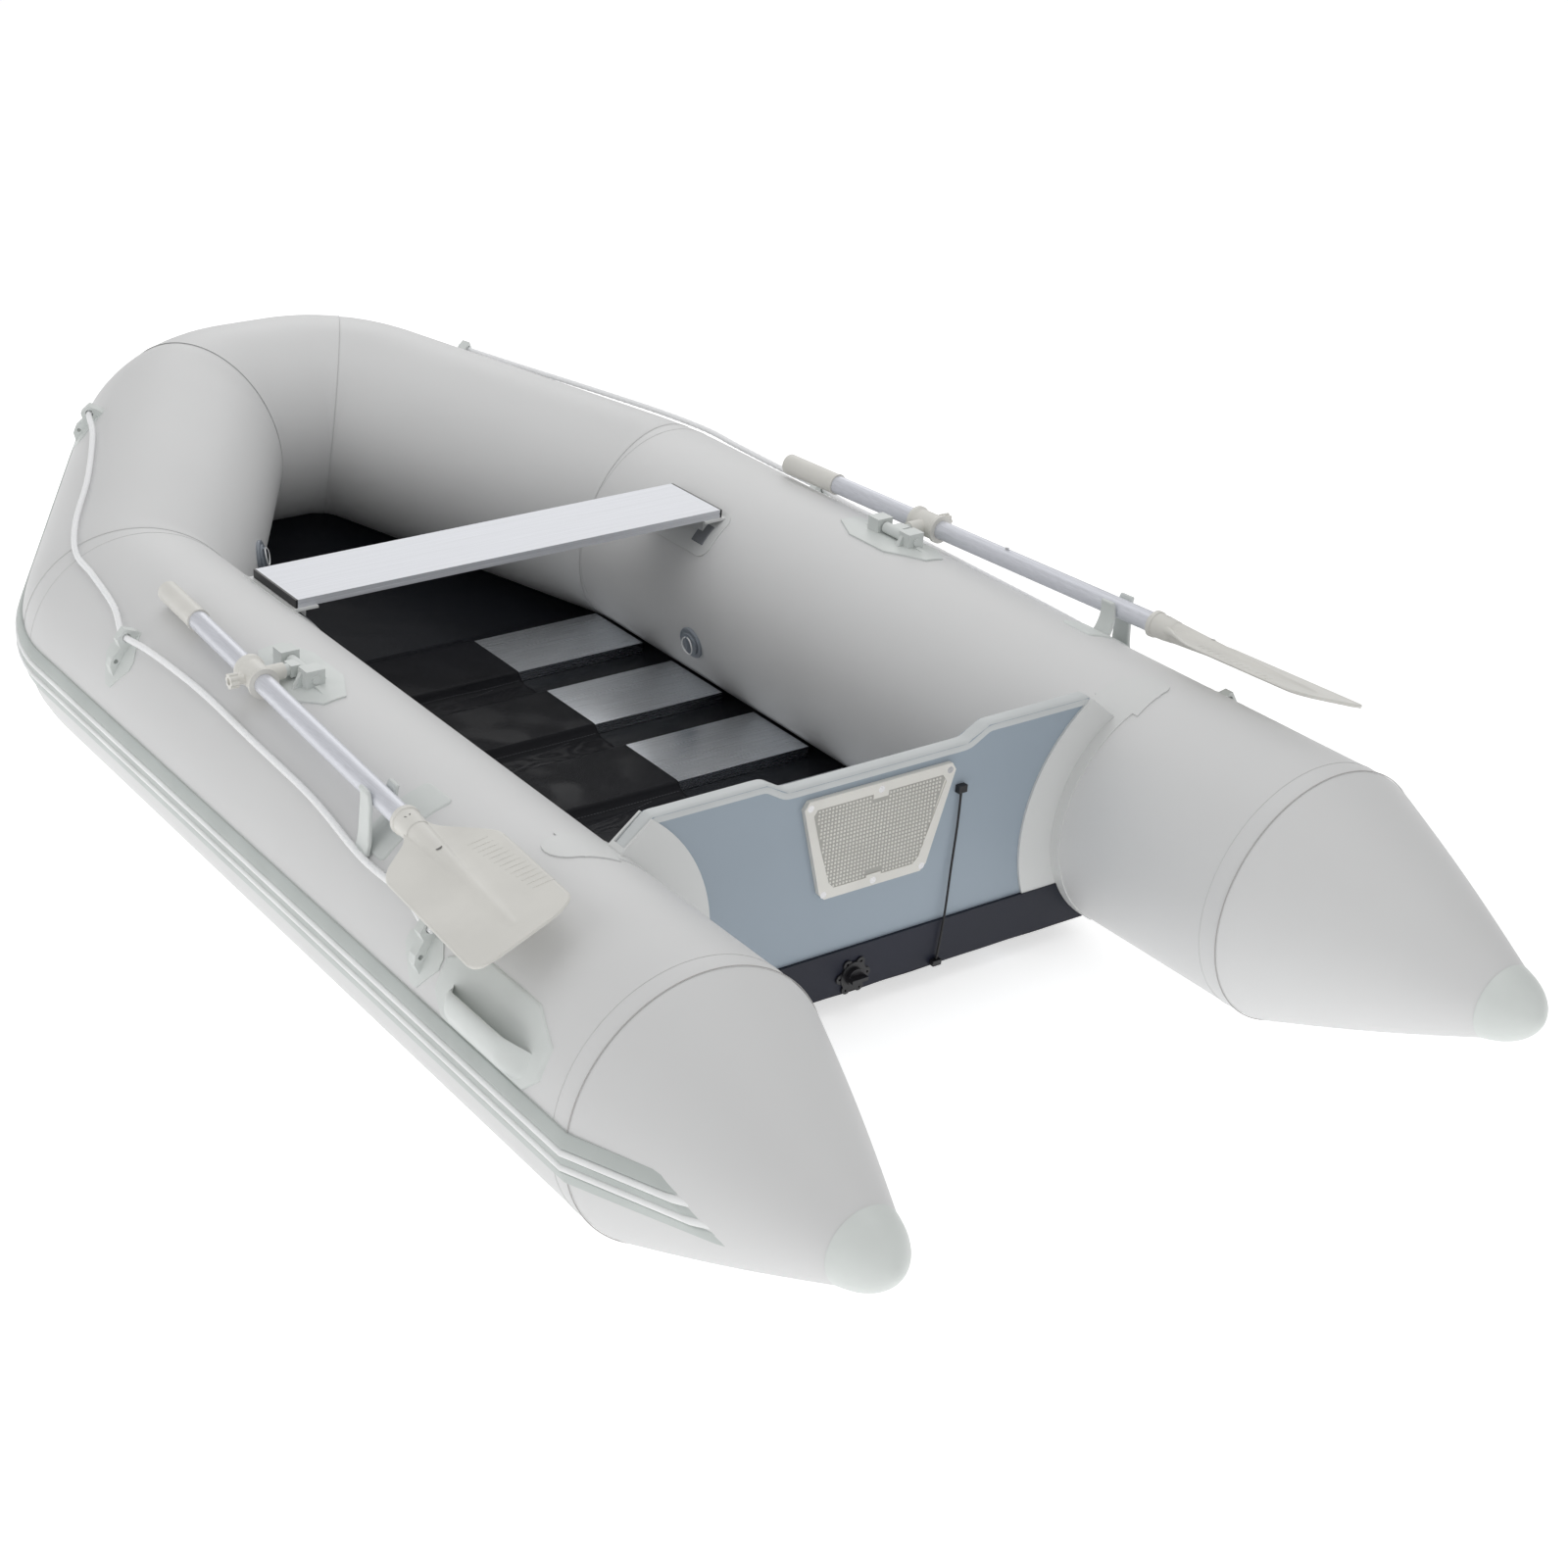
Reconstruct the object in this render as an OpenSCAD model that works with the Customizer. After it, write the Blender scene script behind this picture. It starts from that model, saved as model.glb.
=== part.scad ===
// Inflatable dinghy: two parallel tubes ending in cones at the stern and joined by a raised, mitred
// bow, a plywood transom with a motor pad, a slatted floor, a bench and a pair of two-piece oars.
// +Y is the bow, +Z is up, X = 0 is the centre plane, Z = 0 is the bottom of the tubes.

/* [Hull] */
// Overall length, stern cone tips to bow strake
overall_length = 2940; // [2800:10:3150]
// Beam over the main tubes, without the strake
beam = 1526; // [1480:2:1600]
// Diameter of the inflated tubes
tube_d = 406; // [400:1:414]
// Thickness of the coated tube fabric
skin = 1.2; // [1:0.1:1.6]
// Rise of the cross tube at the bow
bow_rise = 122; // [100:1:140]
// Fore-aft run of the bow side tubes
bow_run = 590; // [540:10:640]
// Half the length of the cross tube on its axis
cross_half = 163; // [150:1:190]
// Length of a stern cone
cone_len = 334; // [300:1:350]
// Radius of the plastic cap on a stern cone
tip_r = 56; // [50:1:66]

/* [Strake] */
// Height of the rub strake
strake_h = 75; // [60:1:84]
// How far the strake stands off the tube
strake_t = 10; // [7:1:13]

/* [Transom] */
// Distance of the transom's aft face from the cone seam
transom_in = 352; // [346:1:380]
// Thickness of the transom board
board_t = 25; // [22:1:28]
// Height of the transom top above the tube bottoms
transom_top = 424; // [418:1:430]
// Motor pad width at the top
pad_w = 280; // [250:1:300]
// Motor pad height
pad_h = 170; // [160:1:180]

/* [Floor and bench] */
// Width of one floor slat
slat_w = 163; // [150:1:180]
// Slat pitch fore and aft
slat_pitch = 259; // [245:1:270]
// Slat thickness
slat_t = 20; // [16:1:22]
// Bench plank length
bench_l = 872; // [860:1:880]
// Bench plank width
bench_w = 155; // [140:1:170]
// Bench plank thickness
bench_t = 15; // [14:1:20]

/* [Oars] */
// Oar shaft diameter
shaft_d = 33; // [31:0.5:34]
// Length from the collar to the grip end
oar_fore = 372; // [340:1:390]
// Length from the collar to the blade tip
oar_aft = 882; // [850:1:900]
// Blade width
blade_w = 168; // [150:1:172]
// Blade thickness
blade_t = 5; // [4:0.5:7]
// Angle at which the stowed oars point outboard going aft
oar_toe = 4; // [3:0.25:4.5]
// Blade tilt, outer edge down
blade_tilt = 20; // [12:1:24]

/* [Hidden] */
$fn = 64;
tube_r = tube_d / 2;
tube_x = beam / 2 - tube_r;
tip_len = 66;
pipe_h = 5;
pipe_t = 2;
strake_drop = 8;
// The strake is laid in lengths that all but touch at the mitres
strake_gap = 0.1;
y_end = overall_length / 2;
y_cross = y_end - strake_t - pipe_t - tube_r;
y_joint = y_cross - bow_run;
y_ring = -y_end + tip_len + cone_len;
y_cone = y_ring - cone_len;
main_len = y_joint - y_ring;
z_cross = tube_r + bow_rise;
floor_z = 33;
floor_t = 3;
y_tr = y_ring + transom_in;
y_tr2 = y_tr + board_t;
lip_r = tube_r + 65;
slot_r = tube_r + 12;
lip_t = 4;
strip_t = 1.5;
y_strip = y_tr - lip_t - strip_t;
edge_t = 3;
dip = 21;
pad_top = transom_top - 44;
drain_x = -20;
drain_z = 60;
drain_r = 14;
plug_r = 9;
slat_end = 413;
y_slat0 = y_joint - 41;
slats = 5;
slat_top = floor_z + slat_t;
sleeve_t = 1.5;
bench_y = 346;
bench_z = 386;
oar_y = -33;
oar_z = 2 * tube_r + 12;
oar_x = tube_x + 102;
shaft_r = shaft_d / 2;
shaft_wall = 1.3;
pivot_x = tube_x + 28;
pivot_pin_r = 4;
boss_r = 13;
arm_r = 9.5;
fit = 0.05;
collar_r = 25;
collar_l = 62;
joint_z = -215;
spigot_l = 62;
neck_z = -518;
clip_z = -438;
button_z = -188;
button_r = 3.5;
grip_l = 136;
line_r = 5.5;
valve_y = 238;
valve_a = 195;

A = [tube_x, y_joint, tube_r];
B = [cross_half, y_cross, z_cross];
side_d = (B - A) / norm(B - A);
side_len = norm(B - A);
fwd = [0, 1, 0];
over = [-1, 0, 0];
w_main = [1, 0, 0];
n_A = (fwd + side_d) / norm(fwd + side_d);
w_side = w_main - 2 * (w_main * n_A) * n_A;
n_B = (side_d + over) / norm(side_d + over);
w_cross = w_side - 2 * (w_side * n_B) * n_B;

// Tube runs on the starboard side: start point, direction, outboard direction, length, end cut normals
RUNS = [
    [[tube_x, y_ring, tube_r], fwd, w_main, main_len, fwd, n_A],
    [A, side_d, w_side, side_len, n_A, n_B],
    [B, over, w_cross, 2 * cross_half, n_B, [n_B[0], -n_B[1], -n_B[2]]]
];

pvc = [0.83, 0.84, 0.84];
pvc_dark = [0.66, 0.68, 0.68];
white = [0.93, 0.93, 0.92];
black = [0.1, 0.1, 0.11];
alu = [0.8, 0.82, 0.85];
cream = [0.86, 0.85, 0.8];
steel = [0.6, 0.6, 0.62];
ply = [0.6, 0.66, 0.72];

module starboard() { children(); }
module port() { mirror([1, 0, 0]) children(); }
module both() {
    starboard() children();
    port() children();
}

// Frame at p with local Z along d, local X along w
module frame(p, d, w) {
    v = cross(d, w);
    multmatrix([[w[0], v[0], d[0], p[0]], [w[1], v[1], d[1], p[1]], [w[2], v[2], d[2], p[2]], [0, 0, 0, 1]])
        children();
}

// Large block on the far side of the plane through p with normal n
module beyond(p, n) {
    u = cross(n, [0, 0, 1]) / norm(cross(n, [0, 0, 1]));
    frame(p, n, u) translate([-600, -600, 0]) cube([1200, 1200, 700]);
}

// Solid of radius r along tube run i, cut square or mitred at its ends, each end pulled in by inset
module run(i, r, inset = 0) {
    R = RUNS[i];
    q = R[0] + R[1] * R[3];
    difference() {
        frame(R[0], R[1], R[2]) translate([0, 0, -300]) cylinder(r = r, h = R[3] + 600);
        beyond(R[0] + R[1] * inset, -R[4]);
        beyond(q - R[1] * inset, R[5]);
    }
}

module chamber(i) {
    difference() {
        run(i, tube_r);
        run(i, tube_r - skin, 2 * skin);
    }
}

// Local frame on tube run i at distance s and angle a above outboard: Z radial, Y along the run
module on_run(i, s, a) {
    R = RUNS[i];
    frame(R[0], R[1], R[2])
        multmatrix([[sin(a), 0, cos(a), 0], [cos(a), 0, -sin(a), 0], [0, 1, 0, s], [0, 0, 0, 1]]) children();
}
module on_main(y, a) { on_run(0, y - y_ring, a) children(); }

module shell_part(i, t) {
    difference() {
        run(i, tube_r + t);
        run(i, tube_r, -5);
    }
}

module rounded(w, l, rc, h) {
    translate([-w / 2 + rc, -l / 2, 0]) cube([w - 2 * rc, l, h]);
    translate([-w / 2, -l / 2 + rc, 0]) cube([w, l - 2 * rc, h]);
    for (sx = [-1, 1], sy = [-1, 1])
        translate([sx * (w / 2 - rc), sy * (l / 2 - rc), 0]) cylinder(r = rc, h = h);
}

// Curved patch on a tube, t thick, in the outline of its child prism (local Z radial)
module patch(i, s, a, t) {
    intersection() {
        shell_part(i, t);
        on_run(i, s, a) translate([0, 0, tube_r * 0.6]) children();
    }
}

module prism(pts, h) { linear_extrude(height = h) polygon(pts); }

// Eight-sided plate with cut corners
module cut_plate(w, l, cx, cy, h) {
    a = w / 2;
    b = l / 2;
    prism([[-a, -b + cy], [-a + cx, -b], [a - cx, -b], [a, -b + cy], [a, b - cy], [a - cx, b],
        [-a + cx, b], [-a, b - cy]], h);
}

// ---- hull -------------------------------------------------------------------------------------
valve_neck_r = 20;
valve_flange_r = 30;
bow_valve_s = 240;
bow_valve_a = 172;
module valve_hole(i, s, a) {
    on_run(i, s, a) translate([0, 0, tube_r - 40]) cylinder(r = valve_neck_r, h = 60);
}

module main_chamber() {
    color(pvc) difference() {
        chamber(0);
        valve_hole(0, valve_y - y_ring, valve_a);
    }
}
module port_main_tube() { port() main_chamber(); }
module starboard_main_tube() { main_chamber(); }
module starboard_bow_tube() { color(pvc) chamber(1); }
module port_bow_tube() {
    color(pvc) port() difference() {
        chamber(1);
        valve_hole(1, bow_valve_s, bow_valve_a);
    }
}
module bow_cross_tube() { color(pvc) chamber(2); }

module cone(grow) {
    translate([tube_x, y_ring, tube_r]) rotate([90, 0, 0])
        cylinder(r1 = tube_r + grow, r2 = tip_r + grow, h = cone_len);
}
module stern_cone() {
    color(pvc) difference() {
        cone(0);
        translate([tube_x, y_ring - 2 * skin, tube_r]) rotate([90, 0, 0])
            cylinder(r1 = tube_r - 2.2 * skin, r2 = tip_r - 0.4 * skin, h = cone_len - 4 * skin);
    }
}
module starboard_stern_cone() { stern_cone(); }
module port_stern_cone() { port() stern_cone(); }

module cone_caps() {
    color(pvc_dark) both() translate([tube_x, y_cone, tube_r]) rotate([90, 0, 0]) rotate_extrude()
        polygon(concat([[0, 0]], [for (a = [0:9:81]) [tip_r * cos(a), tip_len * sin(a)]], [[0, tip_len]]));
}

strake_low = tube_r - strake_drop - strake_h / 2;
// Block that holds the strake on the outboard side of the main tube
module strake_room() {
    translate([tube_x, y_cone, strake_low - strake_gap])
        cube([2 * tube_r, 2 * main_len, strake_h + 2 * strake_gap]);
}

tape_w = 33;
tape_t = 0.8;
// The tapes stop short of the line on which the tubes rest
tape_gap = 6;
module seam_tapes() {
    color(pvc) both() {
        difference() {
            translate([tube_x, y_ring, tube_r]) rotate([-90, 0, 0]) cylinder(r = tube_r + tape_t, h = tape_w);
            run(0, tube_r, -5);
            translate([0, y_ring - 10, -20]) cube([beam, tape_w + 20, 20 + tape_gap]);
            strake_room();
        }
        difference() {
            run(0, tube_r + tape_t);
            run(0, tube_r, -5);
            translate([0, -tape_w, 0]) run(0, tube_r + 5);
            translate([0, y_joint - beam, -20]) cube([beam, 2 * beam, 20 + floor_z + tape_gap]);
            strake_room();
        }
    }
}

// Rub strake band on run i: thickness from t0 to t1, centred drop below the tube axis, height h
module band(i, t0, t1, drop, h) {
    R = RUNS[i];
    intersection() {
        difference() {
            run(i, tube_r + t1, strake_gap);
            run(i, tube_r + t0, -5);
        }
        frame(R[0], R[1], R[2]) translate([tube_r * 0.7, drop - h / 2, -300]) cube([tube_r, h, R[3] + 600]);
    }
}
strake_back = 180;
module cone_band(t0, t1, drop, h) {
    difference() {
        translate([0, -strake_gap, 0]) cone(t1);
        translate([0, t0 > 0 ? -strake_gap : 0, 0]) cone(t0);
        translate([tube_x, y_ring, tube_r]) rotate([-90, 0, 0]) cylinder(r = tube_r + t0, h = 5);
        translate([tube_x - tube_r - 60, y_cone - 10, -60]) cube([tube_r + 60, cone_len + 20, 2 * tube_r + 120]);
        translate([tube_x, y_cone - 10, tube_r - drop + h / 2]) cube([tube_r + 60, cone_len + 20, tube_r]);
        translate([tube_x, y_cone - 10, -30]) cube([tube_r + 60, cone_len + 20, tube_r - drop - h / 2 + 30]);
        translate([tube_x, y_ring - strake_back, tube_r - drop]) rotate([-38, 0, 0])
            translate([-20, -400, -300]) cube([tube_r + 60, 400, 600]);
    }
}
module strake_set(t0, t1, drop, h) {
    both() {
        cone_band(t0, t1, drop, h);
        band(0, t0, t1, drop, h);
        band(1, t0, t1, drop, h);
    }
    band(2, t0, t1, drop, h);
}
module rub_strake() { color(pvc_dark) strake_set(0, strake_t, strake_drop, strake_h); }
module strake_piping() {
    color(white) for (dz = [-11, 11]) strake_set(strake_t, strake_t + pipe_t, strake_drop + dz, pipe_h);
}

// ---- floor ------------------------------------------------------------------------------------
floor_rise_y = y_joint + 12;
bow_floor_run = 520;
bow_floor_rise = 128;
bow_floor_a = atan(bow_floor_rise / bow_floor_run);
module tubes_solid() {
    both() {
        run(0, tube_r, -1);
        run(1, tube_r, -1);
    }
    run(2, tube_r, -1);
}
module floor_skin() {
    color(black) difference() {
        union() {
            translate([-tube_x, y_strip, floor_z - floor_t])
                cube([2 * tube_x, floor_rise_y - y_strip, floor_t]);
            translate([0, floor_rise_y, floor_z - floor_t]) rotate([bow_floor_a, 0, 0])
                linear_extrude(height = floor_t) polygon([[-tube_x, -1], [tube_x, -1], [cross_half + 60, bow_floor_run],
                    [-cross_half - 60, bow_floor_run]]);
        }
        tubes_solid();
    }
}

module floor_slats() {
    cell = (slat_w - 10) / 4;
    color(alu) for (k = [0:slats - 1])
        translate([-slat_end, y_slat0 - k * slat_pitch - slat_w, floor_z]) difference() {
        cube([2 * slat_end, slat_w, slat_t]);
        for (c = [0:3]) translate([3, 2 + c * (cell + 2), 2]) cube([2 * slat_end - 6, cell, slat_t - 4]);
    }
}

sleeve_x = 130;
sleeve_over = 20;
// Each length covers one slat and runs along the floor to the middle of the gaps beside it
module slat_sleeve() {
    z0 = floor_z;
    z1 = slat_top;
    t = sleeve_t;
    g = slat_pitch - slat_w;
    color(black) for (k = [0:slats - 1]) {
        y1 = y_slat0 - k * slat_pitch;
        y0 = y1 - slat_w;
        translate([-slat_end, 0, 0]) rotate([90, 0, 90]) linear_extrude(height = slat_end + sleeve_x) polygon([
            [y0 - g / 2, z0], [y0 - sleeve_over, z0], [y0, z1 - t], [y0, z1], [y1, z1], [y1, z1 - t],
            [y1 + sleeve_over, z0], [y1 + g / 2, z0], [y1 + g / 2, z0 + t], [y1 + sleeve_over, z0 + t],
            [y1 + t, z1 + t], [y0 - t, z1 + t], [y0 - sleeve_over, z0 + t], [y0 - g / 2, z0 + t]]);
    }
}

// ---- transom ----------------------------------------------------------------------------------
dip_in = 165;
dip_out = 205;
shoulder_x = tube_x - 160;
heel_x = tube_x - 111;
heel_z = transom_top - 43;
module across(y0, y1) { translate([0, y1, 0]) rotate([90, 0, 0]) linear_extrude(height = y1 - y0) children(); }
module board_outline(g, low) {
    t = transom_top + g;
    polygon([[-heel_x, heel_z + g], [-shoulder_x, t], [-dip_out, t], [-dip_in, t - dip], [dip_in, t - dip],
        [dip_out, t], [shoulder_x, t], [heel_x, heel_z + g], [heel_x, low], [-heel_x, low]]);
}
module tube_columns(r) {
    both() translate([tube_x, y_ring, tube_r]) rotate([-90, 0, 0]) cylinder(r = r, h = main_len - 200);
}
module screw_places() {
    for (s = [-1, 1]) {
        translate([s * (pad_w / 2 - 11), y_tr, pad_top - 11]) children();
        translate([s * (pad_w / 2 - 48), y_tr, pad_top - pad_h + 8]) children();
    }
    translate([0, y_tr, pad_top - 11]) children();
    translate([0, y_tr, pad_top - pad_h + 8]) children();
}
screw_r = 2.5;
screw_head_r = 5.5;
pad_t = 8;
module transom_board() {
    color(ply) difference() {
        across(y_tr, y_tr2) union() {
            board_outline(-edge_t, floor_z);
            translate([-tube_x, floor_z]) square([2 * tube_x, heel_z - floor_z - edge_t]);
        }
        tube_columns(slot_r);
        translate([drain_x, y_tr - 5, drain_z]) rotate([-90, 0, 0]) cylinder(r = drain_r, h = board_t + 10);
        screw_places() rotate([-90, 0, 0]) cylinder(r = screw_r, h = 18);
    }
}
module transom_edging() {
    color(pvc_dark) difference() {
        across(y_tr - 1.5, y_tr2 + 1.5) intersection() {
            board_outline(0, transom_top - dip - 60);
            polygon([[-shoulder_x, transom_top - 13], [-dip_out, transom_top - 13], [-dip_in, transom_top - dip - 13],
                [dip_in, transom_top - dip - 13], [dip_out, transom_top - 13], [shoulder_x, transom_top - 13],
                [shoulder_x, transom_top], [-shoulder_x, transom_top]]);
        }
        across(y_tr, y_tr2) board_outline(-edge_t, floor_z);
        tube_columns(lip_r + 2);
    }
}
flange_fore = 56;
flange_aft = 23;
// Height above everything on the transom
clear_z = 600;
// Outline of the rounded tongue that runs on over the top of the tube
tongue = concat([for (a = [-90:15:90]) [16 + 32 * cos(a), 32 * sin(a)]], [[-50, 46], [-50, -46]]);
module transom_holders() {
    color(pvc) both() {
        difference() {
            union() {
                difference() {
                    translate([tube_x, y_tr - lip_t, tube_r]) rotate([-90, 0, 0])
                        cylinder(r = lip_r, h = board_t + 2 * lip_t);
                    across(y_tr - 40, y_tr2 + 40) polygon([[shoulder_x - 20, clear_z], [shoulder_x - 20, transom_top],
                        [shoulder_x, transom_top], [heel_x + 4, heel_z], [tube_x, tube_r], [tube_x, -80],
                        [beam, -80], [beam, clear_z]]);
                }
                difference() {
                    translate([tube_x, y_tr - flange_aft, tube_r]) rotate([-90, 0, 0])
                        cylinder(r = tube_r + 2, h = flange_aft + flange_fore);
                    across(y_tr - 90, y_tr2 + 90) polygon([[tube_x - 33, clear_z], [tube_x - 33, 2 * tube_r - 20],
                        [tube_x, tube_r], [tube_x, -80], [beam, -80], [beam, clear_z]]);
                }
                patch(0, y_tr + board_t / 2 - y_ring, 101, 2) prism(tongue, tube_r);
            }
            tube_columns(tube_r);
            across(y_tr, y_tr2) difference() {
                translate([-tube_x, floor_z]) square([2 * tube_x, transom_top]);
                translate([tube_x, tube_r]) circle(r = slot_r);
            }
            translate([0, y_tr - 90, floor_z - 100]) cube([tube_x + 300, 300, 100]);
        }
    }
}
module transom_foot_strip() {
    color(black) difference() {
        union() {
            translate([-tube_x, y_strip, floor_z]) cube([2 * tube_x, strip_t, 76]);
            difference() {
                translate([-tube_x, y_tr - lip_t, floor_z]) cube([2 * tube_x, lip_t, 76]);
                tube_columns(lip_r);
            }
        }
        tube_columns(tube_r + 2);
        translate([drain_x, y_strip - 5, drain_z]) rotate([-90, 0, 0]) cylinder(r = drain_r, h = 20);
    }
}
module pad_shape(inset) {
    t = pad_w / 2 - inset;
    b = pad_w / 2 - 40 - inset;
    z1 = pad_top - inset;
    z0 = pad_top - pad_h + inset;
    polygon([[-b + 10, z0], [b - 10, z0], [b, z0 + 10], [t, z1 - 12], [t - 8, z1], [-t + 8, z1], [-t, z1 - 12],
        [-b, z0 + 10]]);
}
module motor_pad() {
    color(cream) difference() {
        across(y_tr - pad_t, y_tr) pad_shape(0);
        across(y_tr - pad_t - 1, y_tr - pad_t + 1.5) difference() {
            pad_shape(16);
            translate([-14, pad_top - pad_h - 10]) square([28, 30]);
            translate([-14, pad_top - 24]) square([28, 30]);
        }
        screw_places() rotate([90, 0, 0]) {
            translate([0, 0, -1]) cylinder(r = screw_r, h = pad_t + 2);
            translate([0, 0, pad_t - 4]) cylinder(r1 = screw_r, r2 = screw_head_r, h = 4);
        }
    }
}
module motor_pad_screws() {
    color(steel) screw_places() rotate([90, 0, 0]) rotate_extrude()
        polygon([[0, -18], [screw_r, -18], [screw_r, pad_t - 4], [screw_head_r, pad_t], [0, pad_t]]);
}
module at_drain() { translate([drain_x, y_strip, drain_z]) rotate([90, 0, 0]) children(); }
module drain_valve_body() {
    depth = board_t + lip_t + strip_t;
    color(black) at_drain() difference() {
        union() {
            translate([0, 0, -depth - 3]) cylinder(r = drain_r, h = depth + 5);
            cylinder(r = 24, h = 4);
            for (k = [0:5]) rotate([0, 0, k * 60]) translate([24, 0, 0]) cylinder(r = 8, h = 3);
            translate([0, 0, -depth - 3]) cylinder(r = 22, h = 3);
        }
        translate([0, 0, -depth - 5]) cylinder(r = plug_r + fit, h = depth + 20);
        for (k = [0:5]) rotate([0, 0, k * 60]) translate([26, 0, -1]) cylinder(r = 2, h = 6);
    }
}
module drain_plug() {
    color(black) at_drain() {
        translate([0, 0, -30]) cylinder(r = plug_r, h = 36);
        translate([0, 0, 4.2]) cylinder(r = 15, h = 6);
        translate([-15, -3, 10]) cube([30, 6, 10]);
    }
}
clip_x = 158;
clip_cord_z = 330;
module cord_clips() {
    color(black) {
        translate([clip_x - 8, y_tr - 9, clip_cord_z - 6]) cube([16, 9, 12]);
        translate([clip_x - 26, y_strip - 9, floor_z + 1]) cube([16, 9, 9]);
    }
}
// Thin cord hanging down the aft face of the transom
drain_cord_r = 1.8;
DRAIN_ROUTE = [[clip_x, y_tr - 5, clip_cord_z - 6], [clip_x - 1, y_tr - 6, 270], [clip_x - 5, y_tr - 7, 200],
    [clip_x - 9, y_tr - 9, 130], [clip_x - 14, y_strip - 5, 80], [clip_x - 18, y_strip - 5, floor_z + 10]];
module drain_cord() { color(black) cord(DRAIN_ROUTE, drain_cord_r, 8, 2); }

// ---- bench ------------------------------------------------------------------------------------
bench_cap = 4;
module bench_board() {
    cell = (bench_w - 10) / 3;
    color(alu) translate([-bench_l / 2 + bench_cap, bench_y - bench_w / 2, bench_z - bench_t]) difference() {
        cube([bench_l - 2 * bench_cap, bench_w, bench_t]);
        for (c = [0:2]) translate([-1, 2 + c * (cell + 3), 2]) cube([bench_l, cell, bench_t - 4]);
        for (y = [-2.2, bench_w - 0.8]) translate([-1, y, bench_t / 2 - 1.5]) cube([bench_l, 3, 3]);
    }
}
module bench_end_caps() {
    color(black) both() translate([bench_l / 2 - bench_cap, bench_y - bench_w / 2, bench_z - bench_t])
        cube([bench_cap, bench_w, bench_t]);
}
// Moulded rest under each bench end, carried by a flange on the inner side of the tube
holder_x = 396;
module bench_holders() {
    hz = bench_z - bench_t;
    color(pvc) both() {
        difference() {
            translate([holder_x, bench_y - bench_w / 2 - 6, hz - 4]) cube([60, bench_w + 12, 4]);
            run(0, tube_r);
        }
        difference() {
            translate([holder_x + 12, bench_y - 60, hz - 42]) cube([60, 120, 38]);
            translate([holder_x + 12, bench_y - 70, hz - 42]) rotate([0, 45, 0]) translate([-40, 0, -60]) cube([40, 140, 60]);
            run(0, tube_r);
        }
        patch(0, bench_y - y_ring, 136, 2) rounded(96, 200, 24, tube_r);
    }
}

// ---- fittings on the tubes ----------------------------------------------------------------------
module line_fitting(i, s, a) {
    on = tube_r + 1;
    patch(i, s, a - 2, 2) cut_plate(104, 88, 44, 36, tube_r);
    difference() {
        on_run(i, s, a) translate([0, fitting_w / 2, 0]) rotate([90, 0, 0]) linear_extrude(height = fitting_w)
            polygon([[-44, on - 14], [-44, on + 4], [-38, on + 24], [-16, on + 26], [-7, on + 14], [16, on + 16],
                [28, on + 12], [42, on - 6], [42, on - 14]]);
        run(i, tube_r, -5);
        on_run(i, s, a) translate([-eye_off, 20, tube_r + eye_up]) rotate([90, 0, 0]) cylinder(r = eye_r, h = 40);
        on_run(i, s, a) translate([tow_off, 20, on + tow_up]) rotate([90, 0, 0]) cylinder(r = tow_r, h = 40);
    }
}
// The small lower eye of a line fitting, for towing
fitting_w = 16;
tow_off = 16;
tow_up = 7;
tow_r = 4;
rear_fit = [0, 385, 28];
mid_fit = [0, 1405, 37];
fore_fit = [1, 512, 37];
module line_fittings() {
    color(pvc_dark) both() for (f = [rear_fit, mid_fit, fore_fit]) line_fitting(f[0], f[1], f[2]);
}

function at_run(i, s, a, h) = RUNS[i][0] + RUNS[i][1] * s
    + (tube_r + h) * (cos(a) * RUNS[i][2] - sin(a) * cross(RUNS[i][1], RUNS[i][2]));
// Centre of the upper eye of a line fitting, in the terms of a grab line point
eye_off = 27;
eye_up = 14;
eye_r = 7.5;
function eye(f, ds) = [f[0], f[1] + ds, f[2] + atan(eye_off / (tube_r + eye_up)),
    norm([eye_off, tube_r + eye_up]) - tube_r];
// Grab line points: tube run, distance along it, angle above outboard, height off the tube
LINE = [eye(rear_fit, -14), eye(rear_fit, 14), [0, 470, 38, 9], [0, 590, 38, 8.5], [0, 760, 43, 7.5], [0, 950, 45, 7.5],
    [0, 1150, 47, 7.5], [0, 1320, 46, 9], eye(mid_fit, -14), eye(mid_fit, 14), [0, 1500, 51, 9], [0, 1620, 56, 8],
    [0, 1710, 59, 9], [1, 60, 60, 9], [1, 220, 58, 8], [1, 400, 51, 9], eye(fore_fit, -14), eye(fore_fit, 14)];
function line_points() = [for (p = LINE) at_run(p[0], p[1], p[2], p[3])];

// Tube swept along points with two rings to each stretch
function cat(p0, p1, p2, p3, t) = 0.5 * (2 * p1 + (p2 - p0) * t + (2 * p0 - 5 * p1 + 4 * p2 - p3) * t * t
    + (3 * p1 - p0 - 3 * p2 + p3) * t * t * t);
function smooth(P, m) = [for (i = [0:len(P) - 2]) for (k = [0:m - 1])
        cat(P[max(i - 1, 0)], P[i], P[i + 1], P[min(i + 2, len(P) - 1)], k / m), P[len(P) - 1]];
function heading(Q, i) = let (v = Q[min(i + 1, len(Q) - 1)] - Q[max(i - 1, 0)]) v / norm(v);
function ring(c, d, r, n) = let (u = cross(d, [1, 0, 0.3]) / norm(cross(d, [1, 0, 0.3])), v = cross(d, u))
    [for (k = [0:n - 1]) c + r * (cos(360 * k / n) * u + sin(360 * k / n) * v)];
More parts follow.
